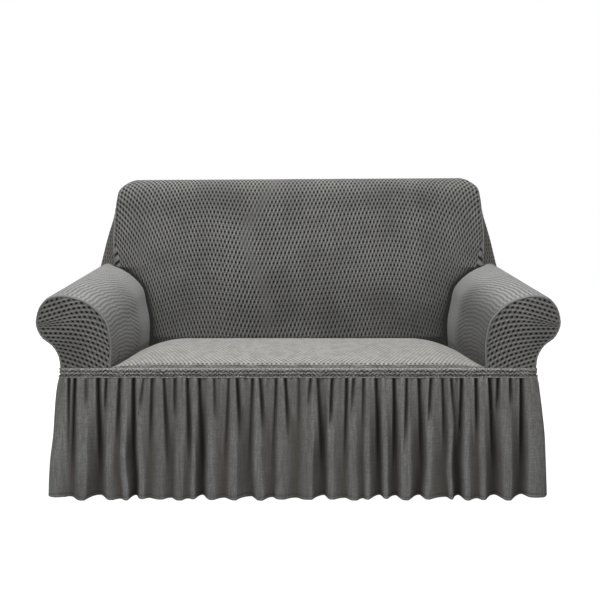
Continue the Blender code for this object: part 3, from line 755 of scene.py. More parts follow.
def knit_material(name, strand, ridge, pit, course=0.10, patchy=0.35, cloud=7.0, slack=None,
                  broad=0.0, short=DIMPLE_SHORT, cords=0.0):
    """Stretch knit: soft strands round staggered dark dimples. The strands' paleness
    is a painted highlight, and the dimples' dark is partly the open knit and partly
    painted shade in their hollows.

    `course` is how far painted shade darkens a row of dimples all along it, and
    `slack` the colour where the dimples have been pulled flat. `broad` widens
    the dimples along their row, `short` shortens them across it, and `cords`
    is how far the strands lie between the rows rather than between dimples.
    """
    sh = Shader(name)
    place = sh.node("ShaderNodeUVMap", uv_map="knit").outputs[0]
    split = sh.node("ShaderNodeSeparateXYZ")
    sh.plug(split.inputs[0], place)
    sway = sh.minus(sh.noise(75.0, 2.0), 0.5)
    stray = sh.minus(sh.noise(96.0, 2.0), 0.5)
    u = sh.plus(split.outputs[0], sh.times(sway, 0.20))
    v = sh.plus(split.outputs[1], sh.times(stray, 0.28))
    across = sh.math("COSINE", sh.times(u, TURN))
    along = sh.math("COSINE", sh.times(v, math.pi))
    in_row = sh.math("ABSOLUTE", along)
    brief = sh.math("POWER", in_row, short)
    even = sh.times(across, along)
    lean = sh.share("lean")
    beside = sh.math("SINE", sh.times(u, TURN))
    between = sh.math("SINE", sh.times(v, math.pi))
    slant = sh.times(lean, sh.times(beside, between))
    wide = sh.plus(even, sh.times(in_row, broad))
    wide = sh.times(wide, 1.0 / (1.0 + broad))
    wave = sh.plus(sh.times(wide, brief), slant)
    firm = sh.share("firm")
    shade = sh.share("shade")
    dark = sh.times(sh.ramp(wave, -0.04, 0.50), firm)
    lit = sh.times(sh.ramp(sh.plus(even, slant), 0.05, -0.75), 1.0 - cords)
    lit = sh.plus(lit, sh.times(sh.ramp(in_row, 0.62, 0.05), cords))
    lit = sh.times(lit, firm)
    rows = sh.times(sh.times(along, along), firm)

    fibre = sh.noise(850.0, 3.0)
    patch = sh.noise(cloud, 4.0, (1.0, 0.6, 1.0))
    # Painted highlight: the strand colour on the raised strands between the dimples.
    colour = sh.blend(lit, ridge, strand)
    colour = sh.blend(sh.times(sh.ramp(fibre, 0.35, 0.7), 0.30), colour, strand)
    if slack is not None:
        loose = sh.times(sh.minus(1.0, firm), 0.9)
        colour = sh.blend(loose, colour, slack)
    worn = tuple(0.75 * part for part in ridge[:3]) + (1.0,)
    colour = sh.blend(sh.times(sh.ramp(patch, 0.38, 0.66), patchy), colour, worn)
    # Painted shade along each row of dimples, then the dark dimples: partly the open knit and
    # partly painted shade in their hollows.
    colour = sh.blend(sh.times(rows, course), colour, pit)
    colour = sh.blend(dark, colour, pit)
    # Painted shade, as far as the mesh's shade value asks for it.
    painted_shade_colour = tuple(0.15 * part for part in ridge[:3]) + (1.0,)
    colour = sh.blend(shade, colour, painted_shade_colour)

    loops = sh.math("SINE", sh.times(v, TURN * 11.0))
    ribs = sh.math("SINE", sh.times(u, TURN * 9.0))
    stitches = sh.times(sh.times(loops, ribs), 0.12)
    height = sh.minus(stitches, sh.times(dark, 0.8))
    height = sh.plus(height, sh.times(fibre, 0.25))
    return sh.finish(colour, height, 0.0010, 0.9, 0.12)


def skirt_material():
    """Plain fine cloth, with a painted highlight on the folds' tops and painted shade in their
    depths.
    """
    sh = Shader("skirt_cloth")
    crown_highlight = sh.share("crown_highlight")
    shade = sh.share("shade")
    yarn = sh.noise(260.0, 3.0, (1.0, 1.0, 0.05))
    weft = sh.noise(330.0, 2.0, (0.08, 0.08, 1.0))
    patch = sh.noise(4.0, 3.0)
    grain = sh.noise(380.0, 2.0, (1.0, 1.0, 0.6))
    tone = sh.plus(sh.times(yarn, 0.45), sh.times(weft, 0.20))
    tone = sh.plus(tone, sh.times(grain, 0.45))
    # Painted highlight: paler and cooler where a fold stands out.
    colour = sh.blend(crown_highlight, rgb(0.156, 0.142, 0.125), rgb(0.432, 0.440, 0.440))
    colour = sh.blend(sh.ramp(tone, 0.46, 0.64, 0.46, 0.0), colour, rgb(0.090, 0.085, 0.078))
    colour = sh.blend(sh.times(sh.ramp(patch, 0.35, 0.65), 0.25), colour,
                      rgb(0.150, 0.136, 0.122))
    # Painted shade in the folds' depths.
    colour = sh.blend(shade, colour, rgb(0.016, 0.015, 0.013))
    return sh.finish(colour, tone, 0.0004, 0.88, 0.12)


def band_material():
    """Shirred knit over elastic: pale crinkles with dark creases, as painted highlight and painted
    shade.
    """
    sh = Shader("shirred_elastic")
    shade = sh.share("shade")
    crease = sh.noise(330.0, 3.0, (1.0, 1.0, 1.5))
    fibre = sh.noise(1000.0, 2.0)
    # Noise paints pale crinkles and dark creases: painted highlight and painted shade.
    colour = sh.blend(sh.ramp(crease, 0.38, 0.60), rgb(0.200, 0.197, 0.185),
                      rgb(0.680, 0.672, 0.646))
    # Painted shade in the grooves and on one side of each crinkle.
    colour = sh.blend(shade, colour, rgb(0.034, 0.033, 0.030))
    height = sh.plus(crease, sh.times(fibre, 0.3))
    return sh.finish(colour, height, 0.0010, 0.9, 0.12)


# --- The panels --------------------------------------------------------------
def pitch_columns(half):
    """Column positions from -half to half and their lattice coordinate."""
    x = np.linspace(-half, half, 4001)
    pitch = mix(PITCH, SIDE_PITCH, clamp(np.abs(x) / PITCH_HALF) ** 2)
    u = np.concatenate(([0.0], np.cumsum(np.diff(x) / (0.5 * (pitch[1:] + pitch[:-1])))))
    count = round(u[-1] * PARTS)
    u = u * (count / PARTS / u[-1])
    columns = np.interp(np.arange(count + 1) / PARTS, u, x)
    return columns, (lambda at: np.interp(at, x, u))


def row_rise(x):
    """How far a row of dimples has climbed at x."""
    at = np.linspace(0.0, len(ROW_RISES) - 1.0, 400)
    line = curve([(r.x, r.rise) for r in ROW_RISES], at)
    return np.interp(x, line[:, 0], line[:, 1])


def back_rows():
    """The inside back's side profile as (y, z, half-width), from foot to rear seam.

    Returns it with the numbers of its row on the arm's side seam and of its first
    rounded row.
    """
    rows = []
    for row in BESIDE_BACK:
        y = face_y(ARM_SECTION[int(row)].rear_z - ARM_FALL)
        x, z = arm_section(row, y, KNIT)
        rows.append((face_y(z), float(z), float(x)))
    x, z = arm_section(SIDE_SEAM, face_y(SIDE_SEAM_Z))
    seam = len(rows)
    rows.append((face_y(z), float(z) + SEAM_GAP, float(x)))
    rows += [(face_y(r.z), r.z, r.half_width) for r in SIDE_SEAM_ROWS]
    rows += [(r.y, r.z, r.half_width) for r in TOP_ROWS]
    return rows, seam, len(rows) - len(TOP_ROWS)


def back_profile():
    """Distance along the back's profile, its points, and where it leaves the arm.

    Over the top the distance runs faster, which brings the rows of dimples closer.
    """
    rows, seam, _ = back_rows()
    at = np.linspace(0.0, len(rows) - 1.0, 1600)
    line = curve(rows, at)
    steps = np.diff(lengths(line[:, :2]))
    closer = 1.0 + TOP_ROW_CLOSER * ease((line[1:, 1] - 0.82) / 0.07)
    run = np.concatenate(([0.0], np.cumsum(steps * closer)))
    return run, line, np.interp(seam, at, run)


def build_back(material):
    run, line, seam_s = back_profile()
    half_at = np.where(run < seam_s, np.maximum.accumulate(line[:, 2]), line[:, 2])
    seam_half = float(np.interp(seam_s, run, half_at))
    columns, lattice_u = pitch_columns(seam_half)

    def place(c, s):
        y, z, half = (np.interp(s, run, part) for part in (line[:, 0], line[:, 1], half_at))
        x = c * np.where(s < seam_s, 1.0, half / seam_half)
        rise = TOP_TILT * x * tilt_share(z)
        return np.stack((x, y - face_crown(x, z), z + rise), axis=-1)

    def from_side(c, s):
        """How close to the side seam, from 0 to 1, above the arm."""
        return bell(seam_half - np.abs(c), 0.018) * ease((s - seam_s) / 0.01)

    def lattice(c, s):
        """Staggered dimples that are uneven beside the side seams."""
        uneven = from_side(c, s)
        z, half = np.interp(s, run, line[:, 1]), np.interp(s, run, half_at)
        level = 1.0 - 0.25 * ease((z - 0.78) / 0.17)
        x = c * np.where(s < seam_s, 1.0, half / seam_half)
        outward_lean = 0.18 * (z - 0.75) * (np.abs(x) / 0.6) ** 6 * np.sign(x)
        u = lattice_u(x - outward_lean) + 0.14 * uneven * wobble(170.0 * s, 3.0)
        v = (s - row_rise(c) * level) / ROW
        return u, v + 0.20 * uneven * wobble(130.0 * s + 90.0 * c, 5.0)

    def firmness(c, s):
        """The dimples flatten along a few lines, where the cloth is slack."""
        z = np.interp(s, run, line[:, 1])
        slack_z, slack_x = np.array(SLACK_LINE).T
        slack = 0.50 * bell(c - np.interp(z, slack_z, slack_x), 0.022)
        tall = ease((z - SIDE_SLACK_LOW_Z) / 0.03) * ease((SIDE_SLACK_HIGH_Z - z) / 0.03)
        side = 0.45 * tall * bell(np.abs(c) - SIDE_SLACK_X, 0.008)
        return 1.0 - slack - side + 0.10 * wobble(9.0 * c + 5.0 * s, 1.0)

    def arm_gap(c, s):
        """Distance to the arm, measured square to its edge."""
        half = np.interp(s, run, half_at)
        slope = np.interp(s, run, np.gradient(half_at, run))
        gap = (half - np.abs(c)) / np.sqrt(1.0 + slope ** 2)
        return np.where(s < seam_s, clamp(gap, 0.0, 1.0), 1.0)

    def shading(c, s):
        """Painted shade where the cloth tucks down behind an arm or the seat and over the
        lower back, darker to the right, and a dark line beside each side seam.
        """
        z = np.interp(s, run, line[:, 1])
        gap = arm_gap(c, s)
        by_arm = 0.92 * bell(gap, 0.0140) + 0.36 * bell(gap, 0.034)
        by_seat = 0.40 * bell(clamp(z - 0.394), 0.005)
        seam = 0.42 * bell(seam_half - np.abs(c) - 0.0075, 0.0028)
        seam = seam * ease((s - seam_s) / 0.02) * ease((0.87 - z) / 0.05)
        # Painted shade: the lower back darker, more so to the right, where less light falls.
        low = (0.31 + 0.15 * c + 0.65 * c * c) * ease((0.66 - z) / 0.26)
        return clamp(by_arm + by_seat + seam + low, 0.0, 0.97)

    def leaning(c, s):
        """The dimples lean left at the left end and right over the rest."""
        lean = mix(-0.14, 0.20, ease((c + 0.38) / 0.22)) - 0.08 * ease((c - 0.1) / 0.4)
        return lean * (1.0 - 0.6 * ease((np.interp(s, run, line[:, 1]) - 0.85) / 0.06))

    below = run < seam_s
    starts = np.interp(np.abs(columns), half_at[below], run[below])
    spans = [(start, run[-1]) for start in starts]
    thing = dimpled_panel("back_panel_cloth", columns, spans, row_rise(columns), ROW / PARTS,
                          place, lattice, 1.0, material, firmness=firmness,
                          extra=lambda c, s: -0.0012 * bell(arm_gap(c, s), 0.008),
                          shading=shading, leaning=leaning)
    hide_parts("back_panel")


def seat_profile():
    rows = [(r.y, r.z, r.side_drop) for r in SEAT_ROWS]
    line = curve(rows, np.linspace(0.0, len(rows) - 1.0, 900))
    return lengths(line[:, :2]), line


def build_seat(material):
    run, line = seat_profile()
    half_front = float(arm_section(SEAT_ROW, FRONT_Y)[0]) - SEAM_GAP
    columns, lattice_u = pitch_columns(half_front)
    fit = 0.05

    def place(c, s):
        y, z, drop = (np.interp(s, run, line[:, k]) for k in range(3))
        half = arm_section(SEAT_ROW, y)[0] - SEAM_GAP
        x = half * c / half_front
        from_arm = clamp((half - np.abs(x)) / SEAT_SIDE_RUN)
        z = z - drop * (1.0 - from_arm) ** 2
        late = clamp((s - run[-1] + fit) / fit)
        limit = face_y(z) - face_crown(x, z) - SEAM_GAP
        y = y - late * (line[-1, 0] - limit)
        return np.stack((x, y, z), axis=-1)

    def lattice(c, s):
        return lattice_u(c), s / ROW

    def crinkle(c, s):
        """Puckers that the elastic pulls into the front edge."""
        near = bell(s - 0.010, 0.009)
        return 0.0019 * near * zigzag(c, s, SEAT_CRINKLE, 2.0)

    def firmness(c, s):
        """The dimples show most on the front edge and fade on the flat."""
        return mix(0.70, 1.0, bell(clamp(s - 0.018), 0.035))

    def crease(c, s):
        """Painted shade in a broken, toothed slit along the front and in the puckers, and
        painted shadow along the sides.
        """
        dip = s - 0.0080 - 0.0020 * zigzag(c, 0.0, SEAT_CRINKLE, 4.0)
        broken = clamp(0.80 + 0.5 * wobble(60.0 * c, 6.0))
        slit = 0.95 * broken * bell(dip, 0.0021)
        puckers = 0.55 * clamp(-zigzag(c, s, SEAT_CRINKLE, 2.0))
        puckers = puckers * bell(s - 0.014, 0.010)
        side = 0.55 * bell(half_front - np.abs(c), 0.006) * ease((s - 0.02) / 0.03)
        return clamp(slit + puckers + side, 0.0, 0.95)

    spans = [(0.0, run[-1])] * len(columns)
    shifts = np.zeros(len(columns))
    thing = dimpled_panel("seat_panel_cloth", columns, spans, shifts, ROW / PARTS,
                          place, lattice, 1.0, material,
                          firmness=firmness, extra=crinkle, shading=crease,
                          edges=NOSE_ROWS)
    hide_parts("seat_panel")


def rear_outline():
    """Height and half-width of the rear panel, from the band to its top."""
    rows = np.linspace(0.0, ROLL_OUT, 200)
    x, z = arm_section(rows, REAR_Y)
    low_z = np.append(z, REAR_SEAM_Z)
    return low_z, np.append(x, REAR_TOP_HALF)


def build_rear(material):
    z_of, half_of = rear_outline()
    widest = len(z_of) - 2
    half = half_of[widest] - 0.0006
    columns, lattice_u = pitch_columns(half)

    def place(c, s):
        z = KNIT_BOTTOM_Z + s
        width = np.interp(z, z_of, half_of)
        u = clamp(c / width, -1.0, 1.0)
        swell = REAR_BULGE * (1.0 - u * u) * np.sin(
            np.pi * clamp(s / (REAR_SEAM_Z - KNIT_BOTTOM_Z)))
        return np.stack((c, REAR_Y + swell, z + TOP_TILT * c * tilt_share(z)), axis=-1)

    def rise(c):
        return 0.6 * row_rise(c * 0.85)

    def lattice(c, s):
        return lattice_u(c), (s - rise(c)) / ROW

    far = np.abs(columns)
    climbing = np.maximum.accumulate(half_of[:widest + 1])
    low = np.where(far > half_of[0], np.interp(far, climbing, z_of[:widest + 1]), z_of[0])
    high = np.interp(-far, -half_of[widest:], z_of[widest:])
    spans = [(a - KNIT_BOTTOM_Z, max(b, a + 0.002) - KNIT_BOTTOM_Z)
             for a, b in zip(low, high)]
    thing = dimpled_panel("outer_back_cloth", columns, spans, rise(columns), ROW / PARTS,
                          place, lattice, -1.0, material)
    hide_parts("outer_back")


def arm_tables():
    """Row numbers of the arm's section against the distance along it."""
    rows = np.linspace(0.0, CREASE, 1500)
    x, z = arm_section(rows, mix(FRONT_Y, REAR_Y, 0.35))
    return rows, lengths(np.stack((x, z), axis=1))


def build_arm(side, mirrored, material):
    rows, run = arm_tables()
    step = run[-1] / round(run[-1] / (SHORT_ROW / PARTS))

    early = (0.0, 0.0015, 0.0030, 0.0050, 0.0075)
    lattice_start = 0.0105
    depth = PANEL_END_Y - PANEL_START_Y
    later = np.arange(lattice_start, depth - 0.002, PITCH / PARTS)
    columns = PANEL_START_Y + np.concatenate((early, later, [depth]))

    def shift(c):
        """The rows climb behind the front seam and bend down towards the rear."""
        behind = c - PANEL_START_Y
        return 0.50 * behind ** 2 - 0.06 * behind

    def place(c, s):
        x, z = arm_section(np.interp(s, run, rows), c, rim_inset(c))
        return np.stack((x, c, z), axis=-1)

    def lattice(c, s):
        sway = 0.15 * wobble(60.0 * c + 6.0 * s, 2.0)
        u = (c - PANEL_START_Y - lattice_start) / PITCH
        return u, (s - shift(c)) / (step * PARTS) + sway

    def crook(c, s):
        """The short slanting tuck where the arm meets the seat, from 0 to 1."""
        from_crease = run[-1] - s
        slant = c + 0.325 - 0.5 * from_crease
        near = bell(slant, 0.0045) * ease(from_crease / 0.012)
        return near * ease((0.060 - from_crease) / 0.03)

    def firmness(c, s):
        """The cloth is pulled smooth outside the crest and at the rear."""
        row = np.interp(s, run, rows)
        rear = ease((c + 0.04) / 0.13) * ease((row - 10.2) / 1.6)
        top_rear = ease((c - 0.10) / 0.12) * ease((row - 7.8) / 0.8)
        outside = ease((8.1 - row) / 0.9) * ease((row - 4.0) / 1.0)
        return 1.0 - clamp(0.85 * rear + 0.55 * top_rear + 0.6 * outside, 0.0, 0.9)

    def shading(c, s):
        """Painted shade where the arm meets the seat, in the short tuck and over the inner
        face, darker on the right arm than on the left.
        """
        gap = clamp(seat_s - s)
        row = np.interp(s, run, rows)
        by_seat = 0.75 * bell(gap, 0.006) + 0.30 * bell(gap, 0.030)
        # Painted shade on the inner face, which gets less light, stronger on the right arm.
        inner = (0.50 if mirrored else 0.80) * ease((row - 9.6) / 2.4)
        inner = inner * (1.0 - 0.55 * ease((c + 0.04) / 0.14))
        return clamp(by_seat + inner + 0.85 * crook(c, s), 0.0, 0.95)

    seat_s = float(np.interp(SEAT_ROW, rows, run))
    back_rows = np.linspace(ROLL_OUT, CREASE, 900)
    ends = np.minimum.accumulate(arm_end_y(back_rows))
    last_rows = np.interp(-columns, -ends, back_rows)
    last_rows = np.where(columns <= ends[-1], CREASE, last_rows)
    stops = np.interp(last_rows, rows, run)
    spans = [(0.0, stop) for stop in stops]
    thing = dimpled_panel("arm_panel_%s_cloth" % side, columns, spans, shift(columns), step,
                          place, lattice, 1.0, material,
                          mirrored=mirrored, firmness=firmness, shading=shading,
                          extra=lambda c, s: -0.0022 * crook(c, s))
    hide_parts("arm_panel_" + side)


def build_arm_front(side, mirrored, material, rim_material):
    """The arm's front, whose dimples lie along arches that bend down to the seat."""
    low_rows = np.linspace(CREASE - 0.6, CREASE, 200)
    x, z = arm_section(low_rows, FRONT_Y, RIM_INSET)
    inner_low = float(np.interp(-KNIT_BOTTOM_Z, -z, low_rows))
    outer_edge, width, height = 0.753, 0.215, 0.21
    middle_z, pivot = 0.495, 0.6

    def place(c, s):
        outer_x, outer_z = arm_section(s, FRONT_Y, RIM_INSET)
        inner_x, inner_z = arm_section(mix(inner_low, TOP, s / TOP), FRONT_Y, RIM_INSET)
        swell = (ARM_RIM_Y - FRONT_Y) * (1.0 - (2.0 * c - 1.0) ** 2)
        swell = swell * (1.0 - clamp(s / TOP) ** 4)
        z = np.maximum(mix(outer_z, inner_z, c), KNIT_BOTTOM_Z)
        foot = ONTO_BAND * (1.0 - ease((z - KNIT_BOTTOM_Z) / FOOT_RISE))
        return np.stack((mix(outer_x, inner_x, c), ARM_RIM_Y - np.maximum(swell, foot), z),
                        axis=-1)

    def lattice(c, s, points):
        """Rows of dimples fan out from the outer edge and bend down at the seat.

        A row goes by its height where it is `pivot` of the way in.
        """
        x, z = points[:, 0], points[:, 2]
        inward = clamp((outer_edge - x) / width)
        middle = z
        for _ in range(60):
            share = (middle - KNIT_BOTTOM_Z) / height
            climb = 0.33 * ease((share - 0.50) / 0.30) - 0.22 * (1.0 - ease((share - 0.05) / 0.40))
            fall = 0.19 + 0.09 * ease((share - 0.5) / 0.3)
            middle = z - width * (climb * (inward - pivot) - fall * (inward ** 4 - pivot ** 4))
        steps = (np.arange(12) + 0.5) / 12
        at = inward[:, None] * steps
        slope = climb[:, None] - 4.0 * fall[:, None] * at ** 3
        along = width * inward * np.mean(np.sqrt(1.0 + slope ** 2), axis=1)
        return along / FRONT_PITCH, (middle - middle_z) / FRONT_ROW

    def leaning(points):
        """The dimples tilt more than their rows do, the nearer to the seat."""
        inward = clamp((outer_edge - points[:, 0]) / width)
        return -0.17 * ease((inward - 0.25) / 0.5)

    columns = np.linspace(0.0, 1.0, 88)
    rows = np.linspace(0.0, 7.92, 98)
    thing = woven_grid("arm_front_%s_cloth" % side, columns, rows, place, lattice, -1.0,
                       material, mirrored=mirrored, fade=0.0035,
                       leaning=leaning)
    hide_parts("arm_front_" + side)
    build_arm_seam(side, mirrored, inner_low, rim_material)


def tube_mesh(path, side_way, out_way, radius, closed=False):
    """Points and faces of a thin tube along a line, with ends unless it is closed."""
    count = len(path)
    rings = []
    for k in range(TUBE_SIDES):
        turn = TURN * k / TUBE_SIDES
        rings.append(path + radius * (math.cos(turn) * side_way + math.sin(turn) * out_way))
    faces = []
    if not closed:
        faces = [list(range(0, TUBE_SIDES * count, count))[::-1],
                 list(range(count - 1, TUBE_SIDES * count, count))]
    for k in range(TUBE_SIDES):
        here, after = k * count, (k + 1) % TUBE_SIDES * count
        for i in range(count if closed else count - 1):
            j = (i + 1) % count
            faces.append([here + i, after + i, after + j, here + j])
    return np.concatenate(rings), faces


def build_seam(name, path, side_way, radius, mirrored, material):
    """A rolled seam: a thin, slightly uneven tube along a line of points."""
    radius = radius * (1.0 + 0.18 * wobble(lengths(path) / 0.0021, 1.0))[:, None]
    points, faces = tube_mesh(path, side_way, np.array((0.0, -1.0, 0.0)), radius)
    uvs = np.tile((0.5, 0.0), (len(points), 1))
    # A faint, even painted shade on the seam.
    shares = {"firm": np.full(len(points), 0.8), "shade": np.full(len(points), 0.04)}
    finish_panel(name, points, faces, uvs, shares, 1.0, mirrored, material)


def build_arm_seam(side, mirrored, last_row, material):
    """The rolled seam round an arm's front, from the band round to the band again."""
    rows = np.linspace(0.0, last_row, 430)
    x, z = arm_section(rows, FRONT_Y, SEAM_INSET)
    path = np.stack((x, np.full(len(rows), ARM_RIM_Y + 0.0010), z), axis=1)
    ahead = np.gradient(path, axis=0)
    ahead = ahead / np.linalg.norm(ahead, axis=1, keepdims=True)
    side_way = np.stack((ahead[:, 2], np.zeros(len(rows)), -ahead[:, 0]), axis=1)
    build_seam("arm_seam_" + side, path, side_way, SEAM_ROLL, mirrored, material)


def build_back_seam(side, mirrored, material):
    """The seam between the back's face and its side panel, up from the arm."""
    rows = curve([(r.half_width, face_y(r.z), r.z) for r in SIDE_SEAM_ROWS],
                 np.linspace(0.0, len(SIDE_SEAM_ROWS) - 1.0, 130))
    way = np.tile((1.0, 0.0, 0.0), (len(rows), 1))
    build_seam("back_seam_" + side, rows - 0.0006 * way, way, BACK_SEAM, mirrored, material)


def side_edges(side_sign):
    """The base, front and top edges of a side panel, as functions of 0 to 1, drawn on the right.
    """
    rows, first, corner = back_rows()
    last = len(rows) - 1.0

    def tucked(v):
        v = np.asarray(v, float)
        y, z, half = np.moveaxis(curve(rows, v), -1, 0)
        run = curve(rows, np.minimum(v + 0.1, last)) - curve(rows, np.maximum(v - 0.1, 0.0))
        length = np.hypot(run[..., 0], run[..., 1])
        dy = np.where(v >= last, 1.0, -run[..., 1] / length)
        dz = np.where(v >= last, 0.0, run[..., 0] / length)
        lap = KNIT + 2.0 * CURVE_GAP
        rise = side_sign * TOP_TILT * half * tilt_share(z)
        return np.stack((half, y - lap * dy, z - lap * dz + rise), axis=-1)

    def base(u):
        row = mix(SIDE_SEAM, ROLL_OUT, np.asarray(u, float))
        y = side_base_y(row)
        x, z = arm_section(row, y, -CURVE_GAP)
        return np.stack((x, y, z), axis=-1)

    def front(v):
        v = np.asarray(v, float)
        return tucked(mix(first, corner, v)) + (base(0.0) - tucked(first)) * (1.0 - v)[..., None]

    def top(u):
        return tucked(mix(corner, last, np.asarray(u, float)))

    return base, front, top


def build_back_side(side, mirrored, material):
    base, front, top = side_edges(-1.0 if mirrored else 1.0)

    def place(c, s):
        u, v = clamp(c), clamp(s)
        along, up = u[..., None], v[..., None]
        rear = mix(base(1.0), top(1.0), up)
        point = mix(front(v), rear, along)
        point = point + (base(u) - mix(base(0.0), base(1.0), along)) * (1.0 - up) ** BASE_FADE
        point = point + (top(u) - mix(top(0.0), top(1.0), along)) * up ** TOP_FADE
        point[..., 0] += SIDE_SWELL * np.sin(np.pi * u) * np.sin(np.pi * v)
        return point

    def lattice(c, s, points):
        sway = 0.16 * wobble(40.0 * points[:, 2], 1.0)
        return points[:, 1] / GUSSET_PITCH + sway, points[:, 2] / GUSSET_ROW

    columns = np.linspace(0.0, 1.0, 62)
    rows = np.linspace(0.0, 1.0, 92)
    thing = woven_grid("back_side_%s_cloth" % side, columns, rows, place, lattice, 1.0,
                       material, mirrored=mirrored)
    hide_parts("back_side_" + side)


# --- Rings round the bottom --------------------------------------------------
def ring_table(half_x, half_y, corner):
    """Distance, point and outward direction right round a rounded rectangle.

    It starts at the middle of the front and runs to the right.
    """
    quarter = 0.5 * math.pi * corner
    long_run = 2.0 * (half_x - corner)
    short_run = 2.0 * (half_y - corner)
    legs = (
        (0.5 * long_run, (0.0, -half_y), (1.0, 0.0)),
        (short_run, (half_x, corner - half_y), (0.0, 1.0)),
        (long_run, (half_x - corner, half_y), (-1.0, 0.0)),
        (short_run, (-half_x, half_y - corner), (0.0, -1.0)),
        (0.5 * long_run, (corner - half_x, -half_y), (1.0, 0.0)),
    )
    table = []
    s = 0.0
    for leg, (run, (x, y), (ax, ay)) in enumerate(legs):
        for share in (0.0, 1.0):
            table.append((s + run * share, x + ax * run * share, y + ay * run * share, ay, -ax))
        s += run
        if leg == len(legs) - 1:
            break
        end_x, end_y = x + ax * run, y + ay * run
        centre_x, centre_y = end_x - ay * corner, end_y + ax * corner
        start = math.atan2(-ax, ay)
        for k in range(1, 24):
            turn = start + 0.5 * math.pi * k / 24
            nx, ny = math.cos(turn), math.sin(turn)
            table.append((s + quarter * k / 24, centre_x + nx * corner,
                          centre_y + ny * corner, nx, ny))
        s += quarter
    return np.array(table), s


def ring_at(table, length, s):
    """Points of the ring at s and their outward directions: x, y, nx, ny."""
    s = np.mod(s, length)
    return [np.interp(s, table[:, 0], table[:, k]) for k in range(1, 5)]


def unit_ring_at(table, length, s):
    """The same with outward directions of length 1, which mixing had shortened."""
    x, y, nx, ny = ring_at(table, length, s)
    size = np.hypot(nx, ny)
    return x, y, nx / size, ny / size


def ring_faces(count, tall, short):
    """Faces of a closed ring of cloth with `tall` outer rows and `short` inner ones.

    The rows run downwards, and each has `count` points.
    """
    def outer(i, j):
        return j * count + i % count

    def inner(i, j):
        return (tall + j) * count + i % count

    faces = []
    for i in range(count):
        k = i + 1
        for j in range(tall - 1):
            faces.append([outer(i, j), outer(i, j + 1), outer(k, j + 1), outer(k, j)])
        for j in range(short - 1):
            faces.append([inner(i, j), inner(k, j), inner(k, j + 1), inner(i, j + 1)])
        faces.append([outer(i, 0), outer(k, 0), inner(k, 0), inner(i, 0)])
        faces.append([outer(k, tall - 1), outer(i, tall - 1),
                      inner(i, short - 1), inner(k, short - 1)])
    return faces


def turned(faces):
    """The same faces, seen from their other side."""
    return [[face[0], *face[:0:-1]] for face in faces]


def skirt_knots(length):
    """Knots (s, offset) of the main folds, right round from the front's middle."""
    knots = []
    for fold in FRONT_FOLDS:
        knots.append((fold.ridge_x % length, fold.ridge_out))
        knots.append((fold.valley_x % length, fold.valley_in))
    front_end = FRONT_FOLDS[-1].valley_x
    front_start = length + FRONT_FOLDS[0].ridge_x
    pitch = (front_start - front_end) / (SIDE_FOLDS + 0.5)
    for k in range(SIDE_FOLDS):
        sway = 0.22 * math.sin(2.3 * k) + 0.15 * math.sin(5.9 * k + 1.0)
        ridge = front_end + pitch * (k + 0.55 + sway)
        valley = front_end + pitch * (k + 1.05 + 0.5 * sway + 0.10 * math.sin(3.7 * k))
        knots.append((ridge, 0.0115 + 0.003 * math.sin(1.7 * k)))
        knots.append((valley, -0.0095 - 0.006 * math.sin(2.9 * k + 0.6)))
    return sorted(knots)


def all_tucks(length):
    """The front's tucks and, by a loop, those round the other sides."""
    tucks = [Tuck(t.top_x % length, t.low_x - t.top_x, t.reach, t.depth) for t in FRONT_TUCKS]
    first = FRONT_TUCKS[-1].top_x + TUCK_PITCH
    last = length + FRONT_TUCKS[0].top_x - 0.5 * TUCK_PITCH
    count = round((last - first) / TUCK_PITCH)
    for k in range(count):
        sway = 0.30 * math.sin(2.9 * k) + 0.20 * math.sin(7.3 * k + 1.0)
        at = first + (last - first) * (k + 0.5 + sway) / count
        reach = 0.62 + 0.36 * math.sin(4.1 * k + 0.5)
        depth = 0.0095 + 0.0033 * math.sin(3.3 * k + 2.0)
        tucks.append(Tuck(at, 0.010 * math.sin(5.3 * k), reach, depth))
    return tucks


def tuck_depths(tucks, s, v, length):
    """How far the tucks pull the cloth in: steep on one side, easy on the other."""
    total = np.zeros(len(s))
    for tuck in tucks:
        centre = tuck.top_x + tuck.low_x * min(v / tuck.reach, 1.0)
        away = np.mod(s - centre + 0.5 * length, length) - 0.5 * length
        near = np.abs(away) < 0.05
        away = away[near]
        width = np.where(away < 0.0, mix(0.0026, 0.0060, v), mix(0.0055, 0.0120, v))
        held = ease(v / 0.03) * (1.0 - ease((v / tuck.reach - 0.35) / 0.65))
        lip = bell(away + 0.0075, 0.0040)
        groove = bell(away, width)
        total[near] += tuck.depth * float(held) * (groove - 0.22 * lip)
    return total


def fold_line(knots, length):
    """Offset against s: each fold is a level panel that drops steeply at its right."""
    s_of = np.array([knot[0] for knot in knots])
    d_of = np.array([knot[1] for knot in knots])
    s_of = np.concatenate((s_of[-1:] - length, s_of, s_of[:1] + length))
    d_of = np.concatenate((d_of[-1:], d_of, d_of[:1]))

    def offset(s):
        s = np.mod(s, length)
        k = np.clip(np.searchsorted(s_of, s, side="right") - 1, 0, len(s_of) - 2)
        share = (s - s_of[k]) / (s_of[k + 1] - s_of[k])
        falling = d_of[k + 1] < d_of[k]
        drop = np.where(falling, share ** STEEP_SIDE, (1.0 - share) ** FLAT_SIDE)
        high = np.maximum(d_of[k], d_of[k + 1])
        low = np.minimum(d_of[k], d_of[k + 1])
        return mix(high, low, 0.5 - 0.5 * np.cos(np.pi * drop))
    return offset


